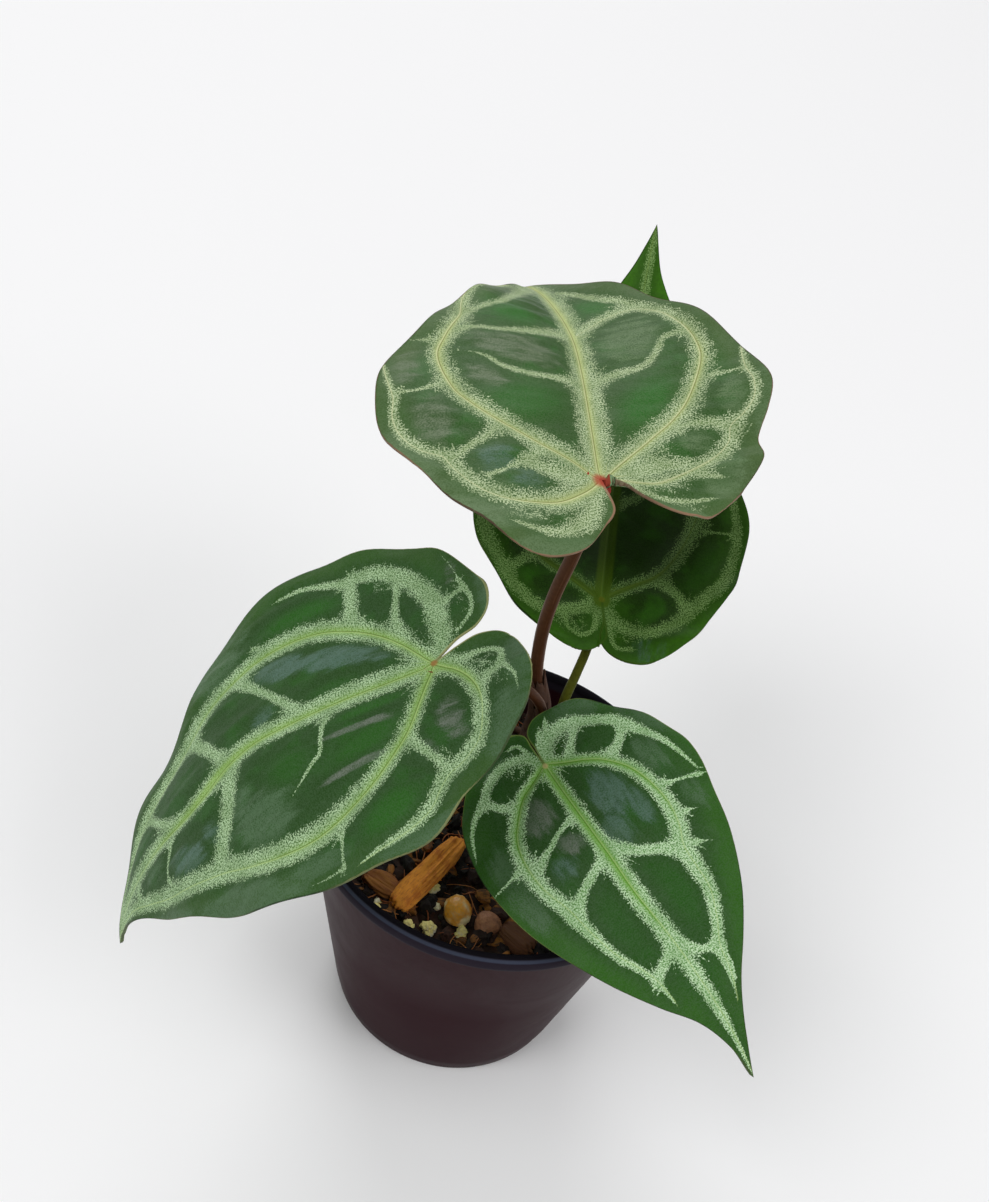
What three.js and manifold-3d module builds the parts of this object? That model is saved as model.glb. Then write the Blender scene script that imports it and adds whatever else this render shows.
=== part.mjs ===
// A young hybrid anthurium with four heart-shaped, silver-veined leaves in a plain nursery pot.
// Units are millimetres, +Z is up, and the origin is the middle of the flat underside of the pot.
import * as THREE from 'three';
import { mergeVertices } from 'three/addons/utils/BufferGeometryUtils.js';
import Module from 'manifold-3d';

const wasm = await Module();
wasm.setup();

// Clearance kept between two solids that touch in real life.
const SEAT_GAP = 0.3;

// Pot: a 4-inch injection-moulded nursery pot.
const POT = {
  height: 82,
  rimRadius: 50,
  lipDepth: 4.5,
  lipStep: 1.4,
  lipWidth: 2.8,
  lipRound: 0.7,
  baseRadius: 34,
  wall: 1.5,
  floor: 2,
  baseRound: 1.5,
  holeCount: 8,
  holeRadius: 3.5,
  holeCircle: 25,
  sides: 56,
};

// Potting mix: a root ball that fills the pot to a little below its rim.
const MIX = {
  level: 68.5,
  edgeDrop: 1.5,
  flatShare: 0.6,
  sides: 44,
  lumpCount: 64,
  lumpReach: 42.5,
  lumpSmallest: 1.8,
  lumpLargest: 4.2,
  lumpRoughness: 0.25,
  lumpTurn: 137.5,
  seed: 11,
};

// Crown: the short upright stem that all leaf stalks rise from.
const CROWN = {
  x: 9,
  y: 19,
  foot: 56,
  top: 88,
  radius: 6,
  scarRise: 0.7,
  scarDip: 0.3,
  scarPitch: 5,
  shoulder: 1,
  sheathLength: 8,
  sheathFoot: 2.1,
  sheathLip: 0.9,
  sheathSides: 12,
  sides: 20,
};

// Leaf stalks. Each route runs from inside the crown to just below its blade.
const STALKS = {
  top: {
    route: [[6.5, 20, 84], [5.6, 19.3, 97], [2.2, 18, 110.5], [0.8, 17, 126], [1.2, 16.2, 139],
      [2.7, 15.4, 152], [3.7, 14.6, 164]],
    radius: [1.65, 1.8],
    reach: 0.4,
  },
  back: {
    route: [[12, 23, 84], [11.9, 25, 95.5], [13.4, 30.5, 101.5], [14.8, 37, 107.5]],
    radius: [1.4, 1.15],
    reach: 1.2,
  },
  left: {
    route: [[6.3, 15.6, 84], [6.6, 14.9, 98.5], [2.1, 12, 108.5], [-7, 5, 118.5], [-15.5, -4.5, 127]],
    radius: [1.4, 1.25],
    reach: 1.2,
  },
  front: {
    route: [[11.5, 16, 84], [11.2, 13, 94.5], [10.4, 7, 100.5], [9.6, 0.5, 102.5]],
    radius: [1.4, 1.2],
    reach: 1.2,
  },
};
const STALK_SIDES = 10;
const STALK_STEPS_PER_POINT = 3;

// Blades. The heading is measured from +Y towards +X, and the pitch and the roll in degrees, each as
// a start value and how it changes towards the tip. The cup lifts both halves from the midrib, the
// sag drops each half towards its margin, and the lobe lift raises a lobe beside the sinus.
// Both margins run from the stalk joint round the lobe to the tip, as distance along the midrib and
// distance out from it.
const BLADES = {
  top: {
    joint: [4.2, 14.4, 176.3],
    length: 110,
    heading: [-15, 18, -30],
    pitch: [7.6, -21, -13],
    lobePitch: 0,
    roll: [15.4, -21.4],
    cup: [0, 23.5],
    sag: [11.8, -9.8],
    lobeLift: [0, 4],
    left: [[0, 0], [-8, -2], [-14, 1], [-22, 7], [-25, 15], [-22, 23], [-14, 30], [-5, 37], [5, 44.5],
      [15, 48], [26, 49], [36, 46.5], [47, 40], [60, 33], [72, 26], [84, 17.5], [94, 10], [102, 4.5],
      [110, 0]],
    right: [[0, 0], [1, 5], [-3, 10.5], [-6.5, 17], [-7, 22], [-4, 28], [3, 34], [11, 38], [18, 38],
      [25, 40], [32, 41], [40, 38.5], [48, 35], [58, 29.5], [68, 23.5], [80, 16.5], [92, 9.5],
      [101, 4.5], [110, 0]],
  },
  back: {
    joint: [15.3, 44.2, 117.2],
    length: 113,
    heading: [-6.1, 1.9, 0.8],
    pitch: [24, 18, 6.5],
    lobePitch: 25,
    roll: [5.3, -4.3],
    cup: [7.3, 0],
    sag: [0, -2.1],
    lobeLift: [0.4, 0],
    left: [[0, 0], [-5, -1], [-11, -1], [-15, 4], [-16, 10], [-13, 18], [-6, 26], [2, 32.5],
      [12, 38], [22, 39], [32, 37], [44, 32], [56, 26], [70, 18.5], [82, 12.5], [92, 8], [100, 4.2],
      [107, 1.8], [113, 0]],
    right: [[0, 0], [-6, 2], [-12, 2.5], [-16, 6.5], [-17, 12], [-14, 18], [-8, 24.5], [0, 30],
      [10, 35], [20, 37], [28, 37], [38, 34], [50, 29], [62, 23], [74, 17], [84, 12], [93, 7],
      [100, 3.6], [107, 1.6], [113, 0]],
  },
  left: {
    joint: [-22.6, -12.6, 135.7],
    length: 115.7,
    heading: [-110.3, -21, -18],
    pitch: [-25, -19, -44.6],
    lobePitch: 44,
    roll: [1.3, 22.2],
    cup: [0.6, -9.5],
    sag: [1, -2],
    lobeLift: [3.9, 3.4],
    left: [[0, 0], [-6, -2.5], [-12, -3.4], [-18, -0.5], [-21, 7], [-22, 15], [-19, 24], [-12, 30],
      [-2, 38], [7, 44.5], [18, 47], [29, 47], [42, 44], [55, 40], [66, 34], [76, 26], [86, 18],
      [95, 9.5], [102, 4.5], [109, 1.5], [115.7, 0]],
    right: [[0, 0], [-6, 4.2], [-12, 6], [-16, 10], [-16, 17], [-12, 26], [-6, 34], [2, 39.5],
      [12, 44], [22, 47.5], [31, 48], [40, 46], [48, 43], [54, 39], [59, 33.5], [65, 27], [74, 21.5],
      [83, 17.5], [91, 12], [99, 6], [107, 2], [115.7, 0]],
  },
  front: {
    joint: [9, -7.2, 104.7],
    length: 87,
    heading: [140.8, -27, 14.3],
    pitch: [-3.3, -1.1, -37.2],
    lobePitch: 5,
    roll: [25, 5],
    cup: [0, 0],
    sag: [2, 2],
    lobeLift: [0, 0],
    left: [[0, 0], [-5, 1.2], [-10, 2.4], [-13, 6], [-13, 12], [-10, 18], [-4, 24], [4, 29.5],
      [12, 32], [21, 32], [30, 29.5], [40, 26], [50, 21], [59, 14], [67, 8], [74, 4], [81, 1.5],
      [87, 0]],
    right: [[0, 0], [-6, 0.9], [-10, 2.4], [-11, 6], [-9, 13], [-5, 20], [2, 25], [10, 27.5],
      [18, 28], [27, 27], [36, 24.5], [45, 21], [54, 16.5], [62, 11.5], [70, 5.5], [78, 2], [87, 0]],
  },
};

// Sheet of a blade: its thickness, its ribs and its relief.
const SHEET = {
  thickness: 0.9,
  jointDepth: 1.7,
  ribDepth: 1.1,
  sideRibDepth: 0.45,
  furrow: 0.5,
  puff: 1.1,
  ripple: 0.9,
  ripplePace: 0.9,
  ribRing: 0.07,
  furrowRing: 0.2,
  jointLength: 12,
  veinSweep: 0.5,
  marginSteps: 1200,
  sinusStart: 0.15,
  fanColumns: 18,
  ribColumns: 6,
  midribColumns: 24,
  rings: [0, 0.07, 0.28, 0.52, 0.76, 1],
};

// Form of a blade across its width: where the width is measured from, and how it folds and lifts.
const FORM = {
  widthShare: 0.38,
  foldSoftness: 0.1,
  lobeStart: 0.08,
  lobeReach: 0.25,
  behind: 30,
};

// Loose pieces that lie part-sunk in the mix, each at its own place, with its half sizes and its turn.
const CHIP_SINK = 0.35;
const CHIP_ROUGHNESS = { bark: 0.22, ochre: 0.15, brown: 0.15, perlite: 0.15 };
const CHIP_SEED = 101;
const CHIPS = {
  bark_chip_long: { at: [-12.5, -21], half: [3.3, 13, 3.2], turn: [6, 4, -27], tone: 'bark' },
  bark_chip_left: { at: [-23.5, -26.5], half: [2.8, 5, 2.4], turn: [5, -6, 70], tone: 'bark' },
  bark_chip_front: { at: [12.5, -33], half: [3, 5, 2.4], turn: [-6, 8, 55], tone: 'bark' },
  bark_chip_back: { at: [-9, 33], half: [4, 8, 2.6], turn: [4, 6, 20], tone: 'bark' },
  bark_chip_right: { at: [34, 6], half: [3.6, 8, 2.6], turn: [-4, 5, -15], tone: 'bark' },
  bark_chip_west: { at: [-36, 2], half: [3.4, 6.5, 2.4], turn: [3, -4, 35], tone: 'bark' },
  pebble_ochre: { at: [-3.3, -29.4], half: [3.5, 4.3, 3.2], turn: [0, 8, 15], tone: 'ochre' },
  pebble_brown: { at: [4.8, -31], half: [3.4, 3.3, 2.8], turn: [10, 0, 40], tone: 'brown' },
  pebble_back: { at: [17, 36], half: [3.8, 3.2, 2.8], turn: [0, 8, 10], tone: 'brown' },
  perlite_left: { at: [-22.6, -33], half: [1.9, 1.9, 1.7], turn: [0, 0, 20], tone: 'perlite' },
  perlite_pair_a: { at: [-13.8, -36.3], half: [2.1, 1.8, 1.7], turn: [12, 0, 35], tone: 'perlite' },
  perlite_pair_b: { at: [-9.2, -35.4], half: [1.9, 1.7, 1.6], turn: [0, 14, 70], tone: 'perlite' },
  perlite_middle: { at: [-8.6, -24], half: [2, 2.1, 1.7], turn: [0, 6, 50], tone: 'perlite' },
  perlite_front: { at: [-1.6, -37], half: [1.7, 1.6, 1.5], turn: [8, 6, 0], tone: 'perlite' },
  perlite_back: { at: [-27, 24], half: [2.2, 2.1, 1.9], turn: [0, 6, 50], tone: 'perlite' },
};

const MATERIALS = {
  pot: { color: 0x2b2325, roughness: 0.35, metalness: 0 },
  mix: { color: 0x2a1c12, roughness: 0.95, metalness: 0 },
  crown: { color: 0x5d4a2c, roughness: 0.8, metalness: 0 },
  stalkBrown: { color: 0x5a3d31, roughness: 0.5, metalness: 0 },
  stalkOlive: { color: 0x59591f, roughness: 0.5, metalness: 0 },
  blade: { color: 0x2c5a2c, roughness: 0.45, metalness: 0 },
  bark: { color: 0x9a5a20, roughness: 0.9, metalness: 0 },
  ochre: { color: 0xb98a3e, roughness: 0.6, metalness: 0 },
  brown: { color: 0x7a5a48, roughness: 0.8, metalness: 0 },
  perlite: { color: 0xd9d2bd, roughness: 0.95, metalness: 0 },
};

const rad = THREE.MathUtils.degToRad;
const clamp = THREE.MathUtils.clamp;

// Seeded draws, so that the mix is the same each time.
function seededDraw(seed) {
  let state = seed;
  return () => {
    state = (state + 0x6d2b79f5) | 0;
    let t = Math.imul(state ^ (state >>> 15), 1 | state);
    t = (t + Math.imul(t ^ (t >>> 7), 61 | t)) ^ t;
    return ((t ^ (t >>> 14)) >>> 0) / 4294967296;
  };
}

// Closed geometry from positions and triangles, with like points merged and empty triangles left out.
function closedGeometry(positions, triangles) {
  const raw = new THREE.BufferGeometry();
  raw.setAttribute('position', new THREE.Float32BufferAttribute(positions.flat(), 3));
  raw.setIndex(triangles.flat());
  const merged = mergeVertices(raw, 1e-4);
  const index = [];
  for (let k = 0; k < merged.index.count; k += 3) {
    const [a, b, c] = [0, 1, 2].map((n) => merged.index.getX(k + n));
    if (a !== b && b !== c && c !== a) index.push(a, b, c);
  }
  merged.setIndex(index);
  merged.computeVertexNormals();
  return merged;
}

function toSolid(geometry) {
  const bare = geometry.clone();
  bare.deleteAttribute('normal');
  bare.deleteAttribute('uv');
  const merged = mergeVertices(bare, 1e-4);
  const vertProperties = new Float32Array(merged.attributes.position.array);
  const triVerts = new Uint32Array(merged.index.array);
  return new wasm.Manifold(new wasm.Mesh({ numProp: 3, vertProperties, triVerts }));
}

function toGeometry(solid) {
  const mesh = solid.getMesh();
  const geometry = new THREE.BufferGeometry();
  geometry.setAttribute('position', new THREE.Float32BufferAttribute(mesh.vertProperties, 3));
  geometry.setIndex(Array.from(mesh.triVerts));
  geometry.computeVertexNormals();
  return geometry;
}

// The largest body of a solid, without the loose scraps that a cut leaves.
function largestBody(solid) {
  const bodies = solid.decompose();
  return bodies.reduce((best, body) => (body.volume() > best.volume() ? body : best));
}

// A turned body about the Z axis from a profile of radius and height that starts and ends on the axis.
function turned(profile, sides) {
  const geometry = new THREE.LatheGeometry(profile.map(([r, z]) => new THREE.Vector2(r, z)), sides);
  geometry.rotateX(Math.PI / 2);
  return geometry;
}

function node(name, geometry, material) {
  const mesh = new THREE.Mesh(geometry, new THREE.MeshStandardMaterial(MATERIALS[material]));
  mesh.name = name;
  return mesh;
}

// Outer radius of the pot wall below the lip, at a height.
function wallRadius(z) {
  const shoulder = POT.height - POT.lipDepth;
  return POT.baseRadius + ((POT.rimRadius - POT.lipStep - POT.baseRadius) * z) / shoulder;
}

function makePot() {
  const shoulder = POT.height - POT.lipDepth;
  const profile = [
    [0, 0],
    [POT.baseRadius - POT.baseRound, 0],
    [POT.baseRadius, POT.baseRound],
    [wallRadius(shoulder), shoulder],
    [POT.rimRadius - POT.lipRound, shoulder + 0.3 * POT.lipRound],
    [POT.rimRadius, shoulder + 1.5 * POT.lipRound],
    [POT.rimRadius, POT.height - POT.lipRound],
    [POT.rimRadius - POT.lipRound, POT.height],
    [POT.rimRadius - POT.lipWidth + POT.lipRound, POT.height],
    [POT.rimRadius - POT.lipWidth, POT.height - POT.lipRound],
    [wallRadius(shoulder) - POT.wall, shoulder],
    [wallRadius(POT.floor) - POT.wall, POT.floor],
    [0, POT.floor],
  ];
  let body = toSolid(turned(profile, POT.sides));
  for (let k = 0; k < POT.holeCount; k += 1) {
    const angle = (k * 2 * Math.PI) / POT.holeCount;
    const drill = new THREE.CylinderGeometry(POT.holeRadius, POT.holeRadius, 3 * POT.floor, 16);
    drill.rotateX(Math.PI / 2);
    drill.translate(POT.holeCircle * Math.cos(angle), POT.holeCircle * Math.sin(angle), 0);
    body = body.subtract(toSolid(drill));
  }
  return toGeometry(body);
}

// An angular lump: an icosahedron with its corners pushed in and out by the draw.
function angularLump(draw, half, roughness) {
  const geometry = new THREE.IcosahedronGeometry(1, 0);
  geometry.deleteAttribute('normal');
  geometry.deleteAttribute('uv');
  const lump = mergeVertices(geometry, 1e-4);
  const place = lump.attributes.position;
  for (let k = 0; k < place.count; k += 1) {
    const push = 1 - roughness * draw();
    const corner = new THREE.Vector3().fromBufferAttribute(place, k);
    corner.multiplyScalar(push).multiply(new THREE.Vector3(...half));
    place.setXYZ(k, corner.x, corner.y, corner.z);
  }
  return lump;
}

function turnAndPlace(geometry, turn, at) {
  const spin = new THREE.Euler(rad(turn[0]), rad(turn[1]), rad(turn[2]), 'ZYX');
  geometry.applyMatrix4(new THREE.Matrix4().makeRotationFromEuler(spin));
  geometry.translate(...at);
  return geometry;
}

// Radius of the mix at its surface, clear of the pot wall.
function mixRadius() {
  return wallRadius(MIX.level - MIX.edgeDrop) - POT.wall - SEAT_GAP;
}

// Height of the mix between its lumps, at a distance from the middle.
function mixLevel(distance) {
  const flat = MIX.flatShare * mixRadius();
  return MIX.level - (MIX.edgeDrop * Math.max(0, distance - flat)) / (mixRadius() - flat);
}

// One loose piece. A grown copy of it, with the same corners, is the pocket that it lies in.
function chipShape(index, chip, growth) {
  const roughness = CHIP_ROUGHNESS[chip.tone];
  const half = chip.half.map((h) => h + growth);
  const [x, y] = chip.at;
  const place = [x, y, mixLevel(Math.hypot(x, y)) + CHIP_SINK * chip.half[2]];
  return turnAndPlace(angularLump(seededDraw(CHIP_SEED + index), half, roughness), chip.turn, place);
}

function makeMixBody() {
  const draw = seededDraw(MIX.seed);
  const footRadius = wallRadius(POT.floor) - POT.wall - SEAT_GAP;
  const profile = [
    [0, POT.floor + SEAT_GAP],
    [footRadius, POT.floor + SEAT_GAP],
    [mixRadius(), MIX.level - MIX.edgeDrop],
    [MIX.flatShare * mixRadius(), MIX.level],
    [0, MIX.level],
  ];
  let body = toSolid(turned(profile, MIX.sides));
  for (let k = 0; k < MIX.lumpCount; k += 1) {
    const size = MIX.lumpSmallest + (MIX.lumpLargest - MIX.lumpSmallest) * draw() ** 2;
    const half = [size, size * (0.7 + 0.7 * draw()), size * (0.45 + 0.3 * draw())];
    const reach = (MIX.lumpReach - 1.4 * size) * Math.sqrt((k + 0.5) / MIX.lumpCount);
    const angle = k * rad(MIX.lumpTurn) + 0.4 * draw();
    const turn = [30 * (draw() - 0.5), 30 * (draw() - 0.5), 360 * draw()];
    const at = [reach * Math.cos(angle), reach * Math.sin(angle), mixLevel(reach) + 0.1 * size];
    body = body.add(toSolid(turnAndPlace(angularLump(draw, half, MIX.lumpRoughness), turn, at)));
  }
  return body;
}

// A round tube of changing radius along a smooth route, with flat ends.
function taperedTube(route, radiusAt, sides, steps) {
  const points = route.map((p) => new THREE.Vector3(...p));
  const curve = new THREE.CatmullRomCurve3(points, false, 'centripetal');
  const frames = curve.computeFrenetFrames(steps, false);
  const positions = [];
  const triangles = [];
  for (let k = 0; k <= steps; k += 1) {
    const centre = curve.getPointAt(k / steps);
    for (let j = 0; j < sides; j += 1) {
      const angle = (j * 2 * Math.PI) / sides;
      const out = frames.normals[k].clone().multiplyScalar(Math.cos(angle));
      out.addScaledVector(frames.binormals[k], Math.sin(angle));
      positions.push(centre.clone().addScaledVector(out, radiusAt(k / steps)).toArray());
    }
  }
  for (let k = 0; k < steps; k += 1) {
    for (let j = 0; j < sides; j += 1) {
      const next = (j + 1) % sides;
      const low = k * sides;
      const high = low + sides;
      triangles.push([low + j, low + next, high + next], [low + j, high + next, high + j]);
    }
  }
  const foot = positions.push(curve.getPointAt(0).toArray()) - 1;
  const head = positions.push(curve.getPointAt(1).toArray()) - 1;
  for (let j = 0; j < sides; j += 1) {
    const next = (j + 1) % sides;
    triangles.push([foot, next, j], [head, steps * sides + j, steps * sides + next]);
  }
  return closedGeometry(positions, triangles);
}

// Directions of a blade at a share of its length: along the midrib, across to the right, and up.
function bladeAxes(blade, share) {
  const ahead = Math.max(share, 0);
  const behind = Math.min(share, 0);
  const heading = rad(blade.heading[0] + blade.heading[1] * ahead + blade.heading[2] * ahead ** 2);
  const climb = blade.pitch[0] + blade.pitch[1] * ahead + blade.pitch[2] * ahead ** 2;
  const pitch = rad(climb + blade.lobePitch * behind);
  const roll = rad(blade.roll[0] + blade.roll[1] * ahead);
  const along = new THREE.Vector3(
    Math.sin(heading) * Math.cos(pitch),
    Math.cos(heading) * Math.cos(pitch),
    Math.sin(pitch),
  );
  const up = new THREE.Vector3(
    -Math.sin(heading) * Math.sin(pitch),
    -Math.cos(heading) * Math.sin(pitch),
    Math.cos(pitch),
  );
  const across = new THREE.Vector3().crossVectors(along, up);
  across.applyAxisAngle(along, roll);
  up.applyAxisAngle(along, roll);
  return { along, across, up };
}

// The bending midrib, walked in short steps from behind the lobes to the tip.
function bladeSpine(blade) {
  const step = 1;
  const count = Math.ceil(blade.length + FORM.behind) + 2;
  const points = [new THREE.Vector3()];
  for (let k = 1; k < count; k += 1) {
    const share = (step * (k - 0.5) - FORM.behind) / blade.length;
    points.push(points[k - 1].clone().addScaledVector(bladeAxes(blade, share).along, step));
  }
  const shift = new THREE.Vector3(...blade.joint).sub(points[FORM.behind]);
  points.forEach((p) => p.add(shift));
  return (along) => {
    const place = clamp(along / step + FORM.behind, 0, count - 1.001);
    const k = Math.floor(place);
    return points[k].clone().lerp(points[k + 1], place - k);
  };
}

// Height of a blade over its flat plan: cup, sag and lobe lift.
function bladeRise(blade, along, out) {
  const share = along / blade.length;
  const width = out / (FORM.widthShare * blade.length);
  const side = width > 0 ? 1 : 0;
  const cup = blade.cup[0] + blade.cup[1] * clamp(share, 0, 1);
  const fold = Math.hypot(width, FORM.foldSoftness) - FORM.foldSoftness;
  const lobeShare = Math.max(0, (FORM.lobeStart - share) / FORM.lobeReach) ** 2;
  const lobe = lobeShare * Math.min(1, 4 * Math.abs(width));
  return cup * fold - blade.sag[side] * width ** 2 + blade.lobeLift[side] * lobe;
}

// Half a blade as columns from the joint or the midrib out to the margin, each a list of flat points.
// The first column is the edge of the sinus. A fan then turns from it round the lobe, and the other
// columns leave the midrib one station after another.
function halfColumns(blade, outline) {
  const points = outline.map(([a, b]) => new THREE.Vector2(a, b));
  const margin = new THREE.SplineCurve(points).getSpacedPoints(SHEET.marginSteps);
  const rear = margin.reduce((best, p, k) => (p.x < margin[best].x ? k : best), 0);
  const station = (p) => p.x - SHEET.veinSweep * p.y;
  let last = margin.length - 1;
  while (last > rear && station(margin[last]) > 0) last -= 1;
  const sinusTurn = margin[Math.round(SHEET.sinusStart * rear)].angle();
  const lobeTurn = margin[last].angle();
  const fanPoint = (edge, share, ring) => {
    const turn = sinusTurn + (lobeTurn - sinusTurn) * share;
    const pull = new THREE.Vector2(Math.cos(turn), Math.sin(turn)).multiplyScalar(edge.length());
    return pull.multiplyScalar((1 - ring) * ring).addScaledVector(edge, ring ** 2);
  };
  const columns = [];
  for (let k = 0; k < SHEET.fanColumns; k += 1) {
    const share = k / SHEET.fanColumns;
    const edge = margin[Math.round(rear + (last - rear) * share)];
    columns.push(SHEET.rings.map((ring) => {
      const offSinus = margin[Math.round(rear * ring)].clone().sub(fanPoint(margin[rear], 0, ring));
      const flat = fanPoint(edge, share, ring).addScaledVector(offSinus, (1 - share) ** 2);
      return { ring, root: 0, along: flat.x, out: flat.y };
    }));
  }
  let place = last;
  for (let k = 0; k <= SHEET.midribColumns; k += 1) {
    const root = (blade.length * k) / SHEET.midribColumns;
    const isTip = k === SHEET.midribColumns;
    while (place < margin.length - 1 && (isTip || station(margin[place]) < root)) place += 1;
    columns.push(SHEET.rings.map((ring) => {
      const flat = new THREE.Vector2(root, 0).lerp(margin[place], ring);
      return { ring, root, along: flat.x, out: flat.y };
    }));
  }
  return columns;
}

// One blade: an upper and a lower sheet split alike into triangles, closed by a thin edge.
function makeBlade(blade) {
  const spine = bladeSpine(blade);
  const positions = [];
  const triangles = [];
  const edge = SHEET.rings.length - 1;
  const lift = (along, out, height) => {
    const axes = bladeAxes(blade, along / blade.length);
    return spine(along)
      .addScaledVector(axes.across, out)
      .addScaledVector(axes.up, bladeRise(blade, along, out) + height)
      .toArray();
  };
  const column = (flat, k, side) => {
    const between = (k % SHEET.ribColumns) / SHEET.ribColumns;
    const onRib = between === 0 ? 1 : 0;
    return flat.map(({ ring, root, along, out }) => {
      const stretch = 1 - root / blade.length;
      const puff = SHEET.puff * 4 * ring * (1 - ring) * Math.sin(Math.PI * between) ** 2;
      const ripple = SHEET.ripple * ring ** 3 * Math.sin(SHEET.ripplePace * k + 2 * side);
      const furrow = SHEET.furrow * Math.max(0, 1 - ring / SHEET.furrowRing);
      const top = (puff + ripple - furrow) * Math.min(1, 3 * stretch);
      const joint = SHEET.jointDepth * Math.max(0, 1 - root / SHEET.jointLength);
      const rib = (SHEET.ribDepth * stretch + joint) * Math.max(0, 1 - ring / SHEET.ribRing);
      const offRib = (1 - ring) * Math.min(1, ring / SHEET.ribRing);
      const sideRib = SHEET.sideRibDepth * onRib * stretch * offRib;
      const bottom = top - SHEET.thickness - rib - sideRib;
      const upper = positions.push(lift(along, side * out, top)) - 1;
      const lower = positions.push(lift(along, side * out, bottom)) - 1;
      return { upper, lower };
    });
  };
  const quad = (a, b, c, d) => triangles.push([a, b, c], [a, c, d]);
  const wall = (from, to) => quad(from.upper, from.lower, to.lower, to.upper);
  for (const side of [-1, 1]) {
    const flats = halfColumns(blade, side < 0 ? blade.left : blade.right);
    const cells = flats.map((flat, k) => column(flat, k, side));
    for (let r = 0; r < edge; r += 1) {
      if (side < 0) wall(cells[0][r + 1], cells[0][r]);
      else wall(cells[0][r], cells[0][r + 1]);
    }
    for (let k = 0; k + 1 < cells.length; k += 1) {
      const [near, far] = side < 0 ? [cells[k + 1], cells[k]] : [cells[k], cells[k + 1]];
      for (let r = 0; r < edge; r += 1) {
        quad(near[r].upper, near[r + 1].upper, far[r + 1].upper, far[r].upper);
        quad(near[r].lower, far[r].lower, far[r + 1].lower, near[r + 1].lower);
      }
      wall(near[edge], far[edge]);
    }
  }
  return closedGeometry(positions, triangles);
}

// The point where a stalk ends, just under the joint of its blade.
function stalkHead(blade, stalk) {
  const { up } = bladeAxes(blade, 0);
  const depth = SHEET.furrow + SHEET.thickness + SHEET.ribDepth + SHEET.jointDepth + stalk.reach;
  return new THREE.Vector3(...blade.joint).addScaledVector(up, -depth).toArray();
}

// One leaf stalk. A grown copy of it is the hole that its foot stands in.
function stalkShape(name, growth) {
  const stalk = STALKS[name];
  const route = [...stalk.route, stalkHead(BLADES[name], stalk)];
  const [low, high] = stalk.radius;
  const radiusAt = (t) => low + (high - low) * t + growth;
  return taperedTube(route, radiusAt, STALK_SIDES, STALK_STEPS_PER_POINT * route.length);
}

// The crown with its leaf scars and the sheathing foot of each stalk.
function makeCrownBody(growth) {
  const profile = [[0, CROWN.foot - growth]];
  for (let z = CROWN.foot; z < CROWN.top - CROWN.shoulder; z += CROWN.scarPitch) {
    profile.push([CROWN.radius + growth - CROWN.scarDip, z - (z === CROWN.foot ? growth : 0)]);
    profile.push([CROWN.radius + growth + CROWN.scarRise, z + 0.5 * CROWN.scarPitch]);
  }
  profile.push([CROWN.radius + growth - CROWN.shoulder, CROWN.top + growth]);
  profile.push([0, CROWN.top + growth + CROWN.shoulder]);
  const stem = turned(profile, CROWN.sides);
  stem.translate(CROWN.x, CROWN.y, 0);
  let body = toSolid(stem);
  for (const name of Object.keys(STALKS)) {
    const route = STALKS[name].route.slice(0, 2);
    const low = new THREE.Vector3(...route[0]);
    const high = new THREE.Vector3(...route[1]).sub(low).setLength(CROWN.sheathLength).add(low);
    const wall = (t) => CROWN.sheathFoot + (CROWN.sheathLip - CROWN.sheathFoot) * t;
    const radiusAt = (t) => STALKS[name].radius[0] + wall(t) + growth;
    const sheath = taperedTube([low.toArray(), high.toArray()], radiusAt, CROWN.sheathSides, 2);
    body = body.add(toSolid(sheath));
  }
  return body;
}

const plant = new THREE.Group();
plant.add(node('pot', makePot(), 'pot'));

let mixBody = makeMixBody().subtract(makeCrownBody(SEAT_GAP));
Object.entries(CHIPS).forEach(([name, chip], index) => {
  mixBody = mixBody.subtract(toSolid(chipShape(index, chip, SEAT_GAP)));
  plant.add(node(name, chipShape(index, chip, 0), chip.tone));
});
plant.add(node('potting_mix', toGeometry(largestBody(mixBody)), 'mix'));

let crownBody = makeCrownBody(0);
for (const name of Object.keys(STALKS)) {
  crownBody = crownBody.subtract(toSolid(stalkShape(name, SEAT_GAP)));
  plant.add(node(`petiole_${name}`, stalkShape(name, 0), name === 'back' ? 'stalkOlive' : 'stalkBrown'));
  plant.add(node(`leaf_blade_${name}`, makeBlade(BLADES[name]), 'blade'));
}
plant.add(node('crown_stem', toGeometry(largestBody(crownBody)), 'crown'));

export default plant;
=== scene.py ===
"""A young hybrid anthurium with silver-veined velvet leaves in a dark nursery pot."""
import math
from random import Random

import bmesh
import bpy
import numpy as np
from bpy.props import FloatProperty, FloatVectorProperty, IntProperty, PointerProperty
from mathutils import Matrix, Vector, noise


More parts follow.
